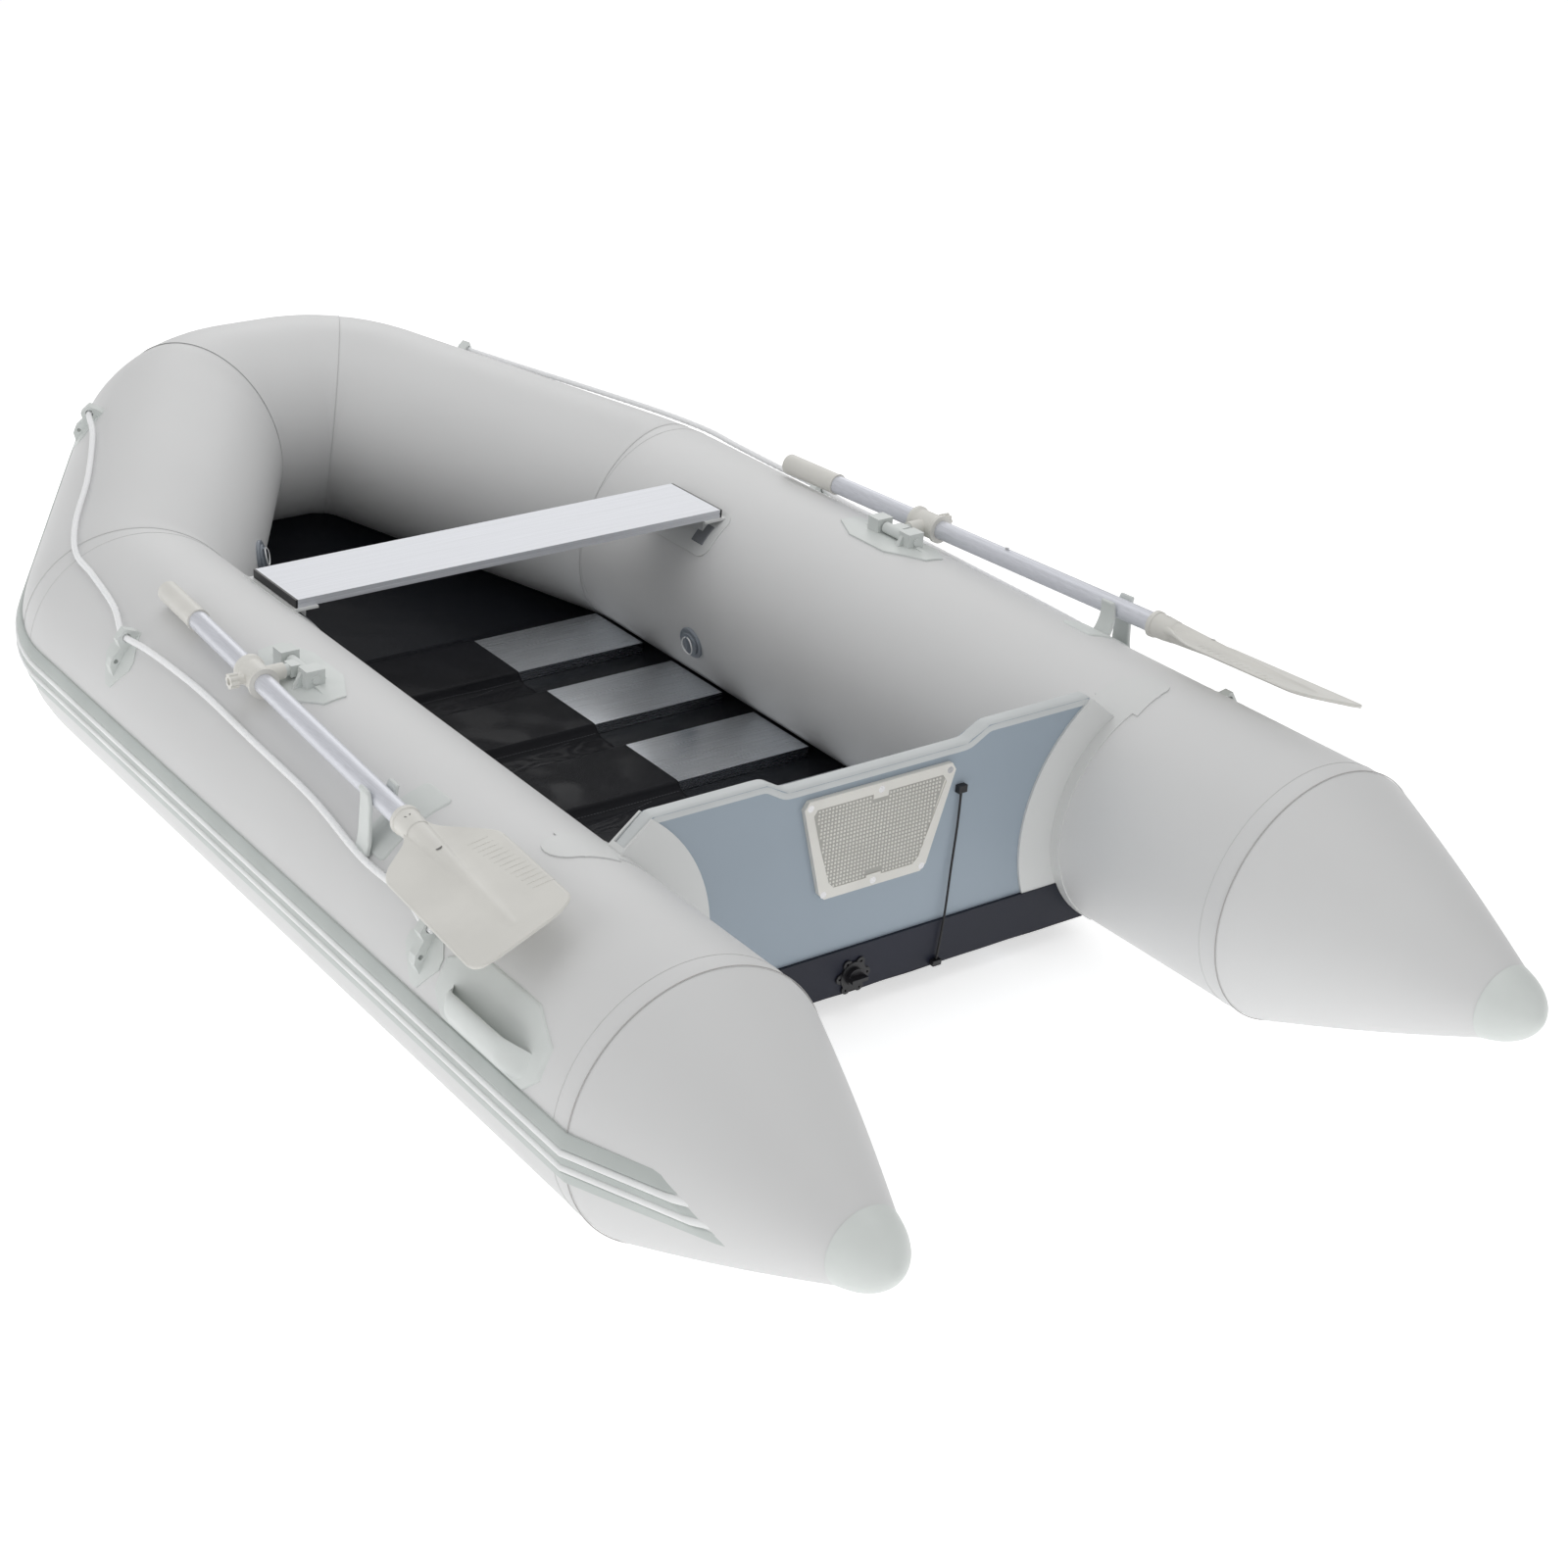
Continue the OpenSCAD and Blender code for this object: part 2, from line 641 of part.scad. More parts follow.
module cord(P, r, n, m) {
    Q = smooth(P, m);
    c = len(Q);
    pts = [for (i = [0:c - 1]) each ring(Q[i], heading(Q, i), r, n)];
    sides = [for (i = [0:c - 2]) for (k = [0:n - 1])
        [i * n + k, i * n + (k + 1) % n, (i + 1) * n + (k + 1) % n, (i + 1) * n + k]];
    polyhedron(points = pts, faces = concat([[for (k = [n - 1:-1:0]) k]], sides,
        [[for (k = [0:n - 1]) (c - 1) * n + k]]));
}
module starboard_grab_line() { color(white) cord(line_points(), line_r, 10, 2); }
module port_grab_line() { port() starboard_grab_line(); }

handle_y = 207;
module carry_handles() {
    on = tube_r;
    color(pvc_dark) both() {
        difference() {
            patch(0, handle_y, 20, 2.5) cut_plate(140, 262, 34, 60, tube_r);
            strake_room();
        }
        difference() {
            on_run(0, handle_y, 20) translate([-17, 0, 0]) rotate([90, 0, 90]) linear_extrude(height = 34) polygon([
                [-104, on - 8], [-104, on + 6], [-78, on + 38], [70, on + 38], [98, on + 8], [98, on - 8], [62, on - 8],
                [62, on + 16], [54, on + 26], [-62, on + 26], [-70, on + 16], [-70, on - 8]]);
            run(0, tube_r, -5);
            strake_room();
        }
    }
}

module oar_clips() {
    color(pvc_dark) both() {
        difference() {
            at_oar() translate([0, 0, clip_z]) union() {
                for (s = [-1, 1]) translate([s > 0 ? shaft_r + 1 : -shaft_r - 9, -8, -18]) cube([8, 110, 36]);
                for (s = [-1, 1]) translate([s * (shaft_r + 6), 14, -18]) cube([20, 60, 36]);
            }
            at_oar() translate([-shaft_r - 1, -20, clip_z - 60]) cube([shaft_d + 2, 130, 120]);
            at_oar() translate([shaft_r + 26, -20, clip_z - 60]) cube([60, 130, 120]);
            at_oar() translate([-shaft_r - 90, -20, clip_z - 60]) cube([60, 130, 120]);
            tube_columns(tube_r);
            translate([-tube_x, y_ring, 0]) cube([2 * tube_x - 100, main_len, tube_r]);
        }
        patch(0, 590, 60, 2) rounded(148, 104, 14, tube_r);
    }
}

module air_valve(i, s, a) {
    on_run(i, s, a) difference() {
        union() {
            translate([0, 0, tube_r - 26]) cylinder(r = valve_neck_r, h = 30);
            difference() {
                translate([0, 0, tube_r - 4]) cylinder(r = valve_flange_r, h = 8);
                rotate([90, 0, 0]) translate([0, 0, -80]) cylinder(r = tube_r, h = 160);
            }
        }
        translate([0, 0, tube_r - 18]) cylinder(r = 17 + fit, h = 40);
        translate([0, 0, tube_r - 40]) cylinder(r = 5 + fit, h = 40);
    }
}
module air_valve_bodies() {
    color(pvc_dark) {
        both() air_valve(0, valve_y - y_ring, valve_a);
        port() air_valve(1, bow_valve_s, bow_valve_a);
    }
}
module valve_cap(i, s, a) {
    color(pvc_dark) on_run(i, s, a) {
        translate([0, 0, tube_r - 8]) cylinder(r = 17, h = 13);
        translate([0, 0, tube_r + 4.2]) cylinder(r = 22, h = 4);
        translate([-18, -2.5, tube_r + 8]) cube([36, 5, 6]);
    }
}
module valve_stem(i, s, a) {
    color(black) on_run(i, s, a) translate([0, 0, tube_r - 32]) {
        cylinder(r = 5, h = 21);
        translate([0, 0, -4]) cylinder(r = 12, h = 4.2);
    }
}
module port_valve_cap() { port() valve_cap(0, valve_y - y_ring, valve_a); }
module starboard_valve_cap() { valve_cap(0, valve_y - y_ring, valve_a); }
module bow_valve_cap() { port() valve_cap(1, bow_valve_s, bow_valve_a); }
module port_valve_stem() { port() valve_stem(0, valve_y - y_ring, valve_a); }
module starboard_valve_stem() { valve_stem(0, valve_y - y_ring, valve_a); }
module bow_valve_stem() { port() valve_stem(1, bow_valve_s, bow_valve_a); }

// ---- oarlocks -----------------------------------------------------------------------------------
ear_top = oar_z + 15;
ear_aft = oar_y - 41;
ear_fore = oar_y + 43;
// Length of an ear, thickness of the webs that stiffen it, length of the pivot barrel
ear_l = 28;
web_t = 8;
barrel_l = 50;
module oarlock_bases() {
    color(pvc_dark) both() {
        patch(0, oar_y - y_ring + 2, 84, 3) prism([[-50, -40], [-16, -112], [22, -112], [60, -50], [60, 40], [20, 112],
            [-24, 112], [-50, 54]], tube_r);
        difference() {
            union() {
                for (y = [ear_aft, ear_fore]) translate([pivot_x - 16, y - ear_l / 2, tube_d - 30])
                    cube([32, ear_l, ear_top - tube_d + 30]);
                for (s = [-1, 1]) translate([pivot_x - web_t / 2, oar_y + 1, 0]) mirror([0, s < 0 ? 1 : 0, 0])
                    rotate([90, 0, 90]) linear_extrude(height = web_t) polygon([[50, tube_d - 30],
                        [50, oar_z - 8], [60, oar_z - 8], [92, tube_d], [92, tube_d - 30]]);
                for (s = [-1, 1]) translate([pivot_x, ear_aft + 10, 0]) mirror([s < 0 ? 1 : 0, 0, 0])
                    rotate([90, 0, 0]) linear_extrude(height = web_t) polygon([[10, tube_d - 40],
                        [10, ear_top - 6], [18, ear_top - 8], [34, tube_d - 12], [34, tube_d - 40]]);
            }
            tube_columns(tube_r);
            translate([pivot_x, ear_aft - 40, oar_z]) rotate([-90, 0, 0]) cylinder(r = pivot_pin_r, h = 200);
        }
    }
}
pin_head = 3;
module oarlock_pins() {
    reach = ear_fore - ear_aft + ear_l;
    color(steel) both() translate([pivot_x, ear_aft - ear_l / 2 - pin_head, oar_z]) rotate([-90, 0, 0]) {
        cylinder(r = 7, h = pin_head);
        cylinder(r = pivot_pin_r, h = reach + 2 * pin_head);
        translate([0, 0, reach + pin_head]) cylinder(r = 7, h = pin_head);
    }
}
module oar_swivel() {
    y0 = (ear_aft + ear_fore) / 2;
    color(pvc_dark) difference() {
        union() {
            translate([pivot_x, y0 - barrel_l / 2, oar_z]) rotate([-90, 0, 0]) cylinder(r = 10, h = barrel_l);
            translate([pivot_x, oar_y, oar_z]) rotate([0, 90, 0]) cylinder(r = arm_r, h = oar_x - 24 - pivot_x - 0.6);
            translate([pivot_x, oar_y - 12, oar_z - 9.5]) cube([20, 24, 19]);
        }
        translate([pivot_x, y0 - 50, oar_z]) rotate([-90, 0, 0]) cylinder(r = pivot_pin_r + fit, h = 100);
    }
}
module port_oar_swivel() { port() oar_swivel(); }
module starboard_oar_swivel() { oar_swivel(); }

// Frame on the oar axis at the collar: X outboard, Y down, Z towards the grip
module at_oar() { translate([oar_x, oar_y, oar_z]) rotate([0, 0, oar_toe]) rotate([-90, 0, 0]) children(); }
stud_r = 3;
module oar_collar() {
    color(cream) difference() {
        union() {
            at_oar() rotate_extrude() polygon([[shaft_r + 2, -collar_l / 2], [collar_r, -collar_l / 2],
                [collar_r, -collar_l / 2 + 6], [collar_r - 3, -collar_l / 2 + 12], [collar_r - 3, collar_l / 2 - 12],
                [collar_r, collar_l / 2 - 6], [collar_r, collar_l / 2], [shaft_r + 2, collar_l / 2]]);
            at_oar() difference() {
                translate([0, 0, -collar_l / 2]) cylinder(r = shaft_r + 3, h = collar_l);
                translate([0, 0, -collar_l / 2 - 1]) cylinder(r = shaft_r + 2 * fit, h = collar_l + 2);
            }
            translate([oar_x - 46, oar_y, oar_z]) rotate([0, 90, 0]) cylinder(r = boss_r, h = 30);
            at_oar() translate([shaft_r + 1, 0, 0]) rotate([0, 90, 0]) cylinder(r = 8, h = 14);
        }
        at_oar() translate([0, 0, -collar_l / 2 - 1]) cylinder(r = shaft_r + 2 * fit, h = collar_l + 2);
        translate([oar_x - 60, oar_y, oar_z]) rotate([0, 90, 0]) cylinder(r = arm_r + fit, h = 36);
        at_oar() rotate([0, 90, 0]) cylinder(r = stud_r + fit, h = 60);
    }
}
module port_oar_collar() { port() oar_collar(); }
module starboard_oar_collar() { oar_collar(); }
module thumb_knob() {
    color(cream) at_oar() rotate([0, 90, 0]) {
        translate([0, 0, shaft_r + 0.4]) cylinder(r = stud_r, h = 18);
        translate([0, 0, shaft_r + 15.4]) difference() {
            union() {
                cylinder(r = 10, h = 14);
                for (k = [0:7]) rotate([0, 0, k * 45]) translate([9.5, 0, 0]) cylinder(r = 3.2, h = 14);
            }
            translate([0, 0, 9]) cylinder(r = 6, h = 8);
        }
    }
}
module port_thumb_knob() { port() thumb_knob(); }
module starboard_thumb_knob() { thumb_knob(); }

// Direction in which the snap button points: up to starboard, down to port
module button_hole(down, r) {
    at_oar() translate([0, 0, button_z]) rotate([down ? -90 : 90, 0, 0]) cylinder(r = r, h = 40);
}
module upper_shaft(down) {
    color(alu) difference() {
        at_oar() rotate_extrude() polygon([[shaft_r - shaft_wall, joint_z], [shaft_r, joint_z],
            [shaft_r, oar_fore - 12], [shaft_r - shaft_wall, oar_fore - 12]]);
        button_hole(down, button_r + fit);
    }
}
module lower_shaft(down) {
    s = shaft_r - shaft_wall;
    color(alu) difference() {
        at_oar() rotate_extrude() polygon([[s - shaft_wall, neck_z - 44], [shaft_r, neck_z - 44], [shaft_r, joint_z],
            [s, joint_z], [s, joint_z + spigot_l], [s - shaft_wall, joint_z + spigot_l]]);
        button_hole(down, button_r + fit);
    }
}
module port_upper_shaft() { port() upper_shaft(true); }
module starboard_upper_shaft() { upper_shaft(false); }
module port_lower_shaft() { port() lower_shaft(true); }
module starboard_lower_shaft() { lower_shaft(false); }
module snap_button(down) {
    color(steel) at_oar() translate([0, 0, button_z]) rotate([down ? -90 : 90, 0, 0]) {
        translate([0, 0, 7]) cylinder(r = button_r, h = shaft_r - 7 + 4);
        translate([0, 0, 6]) cylinder(r = button_r + 2, h = 3);
    }
}
module port_snap_button() { port() snap_button(true); }
module starboard_snap_button() { snap_button(false); }
module oar_grip() {
    color(cream) at_oar() difference() {
        union() {
            translate([0, 0, oar_fore - grip_l]) cylinder(r = shaft_r + 2, h = grip_l - 4);
            translate([0, 0, oar_fore - 4]) cylinder(r1 = shaft_r + 2, r2 = shaft_r - 3, h = 4);
            translate([0, 0, oar_fore - grip_l]) cylinder(r = shaft_r + 3, h = 4);
        }
        translate([0, 0, oar_fore - grip_l - 1]) cylinder(r = shaft_r, h = grip_l - 11);
    }
}
module port_oar_grip() { port() oar_grip(); }
module starboard_oar_grip() { oar_grip(); }
module oar_blade() {
    h = blade_w / 2;
    tip = -oar_aft;
    color(cream) at_oar() rotate([0, 0, blade_tilt]) difference() {
        union() {
            rotate([90, 0, 0]) translate([0, 0, -blade_t / 2]) linear_extrude(height = blade_t) polygon([
                [-14, neck_z - 20], [14, neck_z - 20], [24, neck_z - 50], [h - 12, neck_z - 84], [h, neck_z - 106],
                [h, tip + 26], [h - 10, tip + 8], [h - 24, tip], [-h + 30, tip + 16], [-h + 10, tip + 28],
                [-h, tip + 48], [-h, neck_z - 134], [-h + 14, neck_z - 112], [-24, neck_z - 52]]);
            translate([0, 0, tip + 40]) cylinder(r1 = 5, r2 = shaft_r + 4, h = neck_z - tip - 40);
            translate([0, 0, neck_z - 8]) cylinder(r = shaft_r + 6, h = 8);
        }
        translate([0, 0, neck_z - 44]) cylinder(r = shaft_r, h = 60);
        for (p = [[neck_z - 24, shaft_r + 1.5], [neck_z - 117, 12]])
            translate([0, -p[1], p[0]]) rotate([90, 0, 0]) rounded(10, 4, 1.9, 20);
    }
}
module port_oar_blade() { port() oar_blade(); }
module starboard_oar_blade() { oar_blade(); }

port_main_tube();
starboard_main_tube();
port_bow_tube();
starboard_bow_tube();
bow_cross_tube();
port_stern_cone();
starboard_stern_cone();
cone_caps();
seam_tapes();
rub_strake();
strake_piping();
floor_skin();
floor_slats();
slat_sleeve();
transom_board();
transom_edging();
transom_holders();
transom_foot_strip();
motor_pad();
motor_pad_screws();
drain_valve_body();
drain_plug();
cord_clips();
drain_cord();
bench_board();
bench_end_caps();
bench_holders();
oarlock_bases();
oarlock_pins();
port_oar_swivel();
starboard_oar_swivel();
port_oar_collar();
starboard_oar_collar();
port_thumb_knob();
starboard_thumb_knob();
port_upper_shaft();
starboard_upper_shaft();
port_lower_shaft();
starboard_lower_shaft();
port_oar_grip();
starboard_oar_grip();
port_snap_button();
starboard_snap_button();
port_oar_blade();
starboard_oar_blade();
oar_clips();
line_fittings();
port_grab_line();
starboard_grab_line();
carry_handles();
air_valve_bodies();
port_valve_cap();
starboard_valve_cap();
bow_valve_cap();
port_valve_stem();
starboard_valve_stem();
bow_valve_stem();
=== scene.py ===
import math
import random
import bpy
import bmesh
import numpy as np
from mathutils import Matrix, Vector


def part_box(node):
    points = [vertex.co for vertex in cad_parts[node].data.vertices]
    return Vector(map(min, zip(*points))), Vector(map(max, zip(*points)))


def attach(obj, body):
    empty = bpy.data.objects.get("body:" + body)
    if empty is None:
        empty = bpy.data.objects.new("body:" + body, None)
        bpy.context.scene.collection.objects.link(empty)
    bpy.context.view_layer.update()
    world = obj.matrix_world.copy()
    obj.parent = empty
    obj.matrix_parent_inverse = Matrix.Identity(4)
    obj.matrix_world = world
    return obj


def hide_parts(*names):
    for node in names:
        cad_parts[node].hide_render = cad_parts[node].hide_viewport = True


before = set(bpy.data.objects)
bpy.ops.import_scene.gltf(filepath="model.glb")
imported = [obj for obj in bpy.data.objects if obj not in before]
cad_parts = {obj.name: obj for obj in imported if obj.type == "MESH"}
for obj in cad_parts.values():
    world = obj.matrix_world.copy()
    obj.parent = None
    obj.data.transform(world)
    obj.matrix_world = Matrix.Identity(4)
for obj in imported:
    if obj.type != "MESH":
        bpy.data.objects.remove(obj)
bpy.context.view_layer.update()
random.seed(7)
scene = bpy.context.scene
V = lambda *a: np.array(a, float)

# ------------------------------------------------------------------ camera, light, floor
def set_camera():
    az, el, roll = math.radians(-30.93), math.radians(26.79), math.radians(0.82)
    f = V(-math.sin(az) * math.cos(el), math.cos(az) * math.cos(el), -math.sin(el))
    r = V(math.cos(az), math.sin(az), 0)
    u = np.cross(r, f)
    r2 = r * math.cos(roll) + u * math.sin(roll)
    u2 = -r * math.sin(roll) + u * math.cos(roll)
    cam = bpy.data.cameras.new("camera")
    cam.sensor_width = 36
    cam.lens = 2690 / 1600 * 36
    cam.shift_x = 0.219
    cam.shift_y = -0.0044
    cam.clip_end = 60
    ob = bpy.data.objects.new("camera", cam)
    scene.collection.objects.link(ob)
    m = Matrix.Identity(4)
    for i in range(3):
        m[i][0], m[i][1], m[i][2] = r2[i], u2[i], -f[i]
    m[0][3], m[1][3], m[2][3] = -2.30207, -3.32208, 2.10042
    ob.matrix_world = m
    scene.camera = ob


set_camera()


def area(name, loc, target, size, power, colour=(1, 1, 1)):
    l = bpy.data.lights.new(name, "AREA")
    l.shape = "RECTANGLE"
    l.size, l.size_y = size
    l.energy = power
    l.color = colour
    o = bpy.data.objects.new(name, l)
    o.location = loc
    d = Vector(target) - Vector(loc)
    o.rotation_euler = d.to_track_quat("-Z", "Y").to_euler()
    scene.collection.objects.link(o)


area("key", (0.5, 0.5, 4.6), (0, 0, 0), (4.5, 4.5), 56)
area("left", (-4.4, 0.6, 2.6), (0, 0.2, 0.2), (4, 2.5), 22)
area("aft", (-0.8, -5.0, 2.4), (0, -0.6, 0.2), (4, 2.2), 14)
area("fore", (2.8, 4.6, 2.6), (0, 0.6, 0.2), (4, 2.4), 40)
w = bpy.data.worlds.new("world")
scene.world = w
w.use_nodes = True
bg = w.node_tree.nodes["Background"]
bg.inputs[0].default_value = (1, 1, 1, 1)
bg.inputs[1].default_value = 0.52
scene.view_settings.view_transform = "Standard"

# ------------------------------------------------------------------ node helpers
def new_mat(name, base, rough=0.5, metallic=0.0, **kw):
    m = bpy.data.materials.new(name)
    m.use_nodes = True
    nt = m.node_tree
    p = nt.nodes["Principled BSDF"]
    p.inputs["Base Color"].default_value = (*base, 1)
    p.inputs["Roughness"].default_value = rough
    p.inputs["Metallic"].default_value = metallic
    for k, v in kw.items():
        p.inputs[k.replace("_", " ")].default_value = v
    return m, nt, p


def node(nt, kind, **kw):
    n = nt.nodes.new(kind)
    for k, v in kw.items():
        setattr(n, k, v)
    return n


def coords(nt, scale=(1, 1, 1)):
    tc = node(nt, "ShaderNodeTexCoord")
    mp = node(nt, "ShaderNodeMapping")
    mp.inputs["Scale"].default_value = scale
    nt.links.new(tc.outputs["Object"], mp.inputs["Vector"])
    return mp.outputs[0]


def noise(nt, vec, scale, detail=3.0, rough=0.5):
    n = node(nt, "ShaderNodeTexNoise")
    n.inputs["Scale"].default_value = scale
    n.inputs["Detail"].default_value = detail
    n.inputs["Roughness"].default_value = rough
    nt.links.new(vec, n.inputs["Vector"])
    return n.outputs["Fac"]


def ramp(nt, fac, stops):
    r = node(nt, "ShaderNodeValToRGB")
    e = r.color_ramp.elements
    e[0].position, e[0].color = stops[0][0], (*stops[0][1], 1)
    e[1].position, e[1].color = stops[-1][0], (*stops[-1][1], 1)
    for pos, col in stops[1:-1]:
        x = e.new(pos)
        x.color = (*col, 1)
    nt.links.new(fac, r.inputs[0])
    return r.outputs[0]


def bump(nt, p, height, strength, dist, prev=None):
    b = node(nt, "ShaderNodeBump")
    b.inputs["Strength"].default_value = strength
    b.inputs["Distance"].default_value = dist
    nt.links.new(height, b.inputs["Height"])
    if prev is not None:
        nt.links.new(prev, b.inputs["Normal"])
    nt.links.new(b.outputs[0], p.inputs["Normal"])
    return b.outputs[0]


def rough_map(nt, p, fac, lo, hi):
    m = node(nt, "ShaderNodeMapRange")
    m.inputs["To Min"].default_value = lo
    m.inputs["To Max"].default_value = hi
    nt.links.new(fac, m.inputs["Value"])
    nt.links.new(m.outputs[0], p.inputs["Roughness"])


def fabric_mat(name, base, rough, spread=0.03, weave=900.0, bump_s=0.12, coat=0.0, shine=0.5):
    """Coated fabric: faint cloth weave under the coating, slow tone drift, uneven gloss."""
    m, nt, p = new_mat(name, base, rough)
    p.inputs["Coat Weight"].default_value = coat
    p.inputs["Specular IOR Level"].default_value = shine
    p.inputs["Coat Roughness"].default_value = 0.3
    v = coords(nt)
    big = noise(nt, v, 2.2, 3)
    lo = tuple(max(0, c * (1 - spread)) for c in base)
    hi = tuple(min(1, c * (1 + spread)) for c in base)
    nt.links.new(ramp(nt, big, [(0.35, lo), (0.65, hi)]), p.inputs["Base Color"])
    rough_map(nt, p, noise(nt, v, 9, 4), rough - 0.05, rough + 0.07)
    wv = node(nt, "ShaderNodeTexWave", wave_type="BANDS", bands_direction="Y", wave_profile="SIN")
    wv.inputs["Scale"].default_value = weave
    nt.links.new(v, wv.inputs["Vector"])
    wz = node(nt, "ShaderNodeTexWave", wave_type="BANDS", bands_direction="Z", wave_profile="SIN")
    wz.inputs["Scale"].default_value = weave
    nt.links.new(v, wz.inputs["Vector"])
    ad = node(nt, "ShaderNodeMath", operation="MULTIPLY")
    nt.links.new(wv.outputs["Fac"], ad.inputs[0])
    nt.links.new(wz.outputs["Fac"], ad.inputs[1])
    b = bump(nt, p, ad.outputs[0], bump_s, 0.0003)
    bump(nt, p, noise(nt, v, 14, 4), 0.06, 0.004, b)
    return m


def plastic_mat(name, base, rough, grain=1400.0, strength=0.12, spread=0.03):
    """Moulded plastic: fine grain and small tone changes."""
    m, nt, p = new_mat(name, base, rough)
    v = coords(nt)
    lo = tuple(max(0, c * (1 - spread)) for c in base)
    hi = tuple(min(1, c * (1 + spread)) for c in base)
    nt.links.new(ramp(nt, noise(nt, v, 12, 3), [(0.35, lo), (0.65, hi)]), p.inputs["Base Color"])
    rough_map(nt, p, noise(nt, v, 40, 4), rough - 0.06, rough + 0.08)
    bump(nt, p, noise(nt, v, grain, 2), strength, 0.0003)
    return m


def brushed_mat(name, base, rough, axis="X", metallic=0.92):
    """Brushed, anodised aluminium with the brushing along one axis."""
    m, nt, p = new_mat(name, base, rough, metallic)
    k = {"X": (6, 900, 900), "Y": (900, 6, 900)}[axis]
    v = coords(nt, k)
    n = noise(nt, v, 1.0, 3)
    lo = tuple(c * 0.86 for c in base)
    nt.links.new(ramp(nt, n, [(0.3, lo), (0.7, base)]), p.inputs["Base Color"])
    rough_map(nt, p, n, rough - 0.08, rough + 0.1)
    bump(nt, p, n, 0.06, 0.0002)
    return m


PVC = fabric_mat("tube_coated_fabric", (0.685, 0.688, 0.688), 0.46, 0.015)
PVC2 = fabric_mat("patch_coated_fabric", (0.675, 0.685, 0.68), 0.40, 0.015)
STRAKE = plastic_mat("strake_rubber", (0.50, 0.535, 0.52), 0.5)
WHITE = plastic_mat("white_piping", (0.86, 0.87, 0.87), 0.45)
CAP = plastic_mat("cap_plastic", (0.68, 0.715, 0.695), 0.38)
BLACKF = fabric_mat("floor_coated_fabric", (0.007, 0.008, 0.011), 0.22, 0.3, 700.0, 0.2, 0.0, 0.2)
SLEEVE = fabric_mat("sleeve_coated_fabric", (0.006, 0.0065, 0.009), 0.34, 0.25, 700.0, 0.3, 0.0, 0.13)
VALVE = plastic_mat("valve_plastic", (0.27, 0.30, 0.34), 0.4)
WEB = fabric_mat("grey_webbing", (0.22, 0.23, 0.25), 0.7, 0.1, 420.0, 0.6)
BLACK2 = fabric_mat("foot_strip_fabric", (0.010, 0.012, 0.024), 0.42, 0.2, 900.0, 0.1, 0.0, 0.28)
ALU = brushed_mat("slat_aluminium", (0.86, 0.89, 0.93), 0.25, "X", 1.0)
ALUB = brushed_mat("bench_aluminium", (0.70, 0.715, 0.755), 0.36, "X", 0.25)
ALUY = brushed_mat("shaft_aluminium", (0.73, 0.745, 0.80), 0.34, "Y", 0.35)
TRANSOM = fabric_mat("transom_facing", (0.305, 0.365, 0.425), 0.4, 0.03, 1100.0, 0.1)
EDGE = plastic_mat("transom_edging", (0.58, 0.605, 0.61), 0.45)
BLKP = plastic_mat("black_plastic", (0.010, 0.010, 0.012), 0.35)
STEEL, _nt, _p = new_mat("polished_steel", (0.62, 0.62, 0.63), 0.25, 1.0)
rough_map(_nt, _p, noise(_nt, coords(_nt), 300, 3), 0.15, 0.35)
GREY = plastic_mat("grey_moulding", (0.66, 0.69, 0.675), 0.40)
CREAM = plastic_mat("cream_plastic", (0.715, 0.705, 0.665), 0.42)
SEAM = plastic_mat("seam_line", (0.46, 0.45, 0.44), 0.5)
SEAML = plastic_mat("seam_light", (0.60, 0.605, 0.60), 0.5)
BLKC = plastic_mat("black_cord", (0.012, 0.012, 0.013), 0.6)


# Dark grey laid behind the motor pad's raised squares: painted shade in the recess between them.
PAD_RECESS_SHADE = plastic_mat("motor_pad_recess_shade", (0.40, 0.395, 0.37), 0.6)


def rope_material():
    m, nt, p = new_mat("white_braided_line", (0.92, 0.93, 0.94), 0.75)
    p.inputs["Sheen Weight"].default_value = 0.3
    v = coords(nt)
    nt.links.new(ramp(nt, noise(nt, v, 700, 3), [(0.3, (0.84, 0.85, 0.87)), (0.6, (0.95, 0.955, 0.96))]), p.inputs["Base Color"])
    bump(nt, p, noise(nt, v, 1500, 2), 0.3, 0.0006)
    return m


ROPE = rope_material()


# ------------------------------------------------------------------ mesh helpers
def make(name, verts, faces, mat, body="hull", smooth=True, replaces=(), auto=None):
    me = bpy.data.meshes.new(name)
    me.from_pydata([tuple(map(float, v)) for v in verts], [], [tuple(int(i) for i in f) for f in faces])
    me.validate()
    bm = bmesh.new()
    bm.from_mesh(me)
    bmesh.ops.remove_doubles(bm, verts=bm.verts, dist=1e-6)
    bmesh.ops.recalc_face_normals(bm, faces=bm.faces)
    bm.to_mesh(me)
    bm.free()
    me.materials.append(mat)
    if smooth:
        me.shade_smooth()
        if auto:
            me.set_sharp_from_angle(angle=math.radians(auto))
    ob = bpy.data.objects.new(name, me)
    scene.collection.objects.link(ob)
    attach(ob, body)
    if replaces:
        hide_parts(*replaces)
    return ob


def grid_faces(n, m, wrap=False, base=0):
    out = []
    for i in range(n - 1):
        for j in range(m if wrap else m - 1):
            k = (j + 1) % m
            out.append((base + i * m + j, base + i * m + k, base + (i + 1) * m + k, base + (i + 1) * m + j))
    return out


def frames_along(P, up):
    """Tangents and transported side vectors along points P, starting from side vector up."""
    P = np.asarray(P, float)
    T = np.gradient(P, axis=0)
    T /= np.linalg.norm(T, axis=1)[:, None]
    W = [up - T[0] * (up @ T[0])]
    W[0] /= np.linalg.norm(W[0])
    for i in range(1, len(P)):
        w = W[-1] - T[i] * (W[-1] @ T[i])
        W.append(w / np.linalg.norm(w))
    return T, np.array(W)


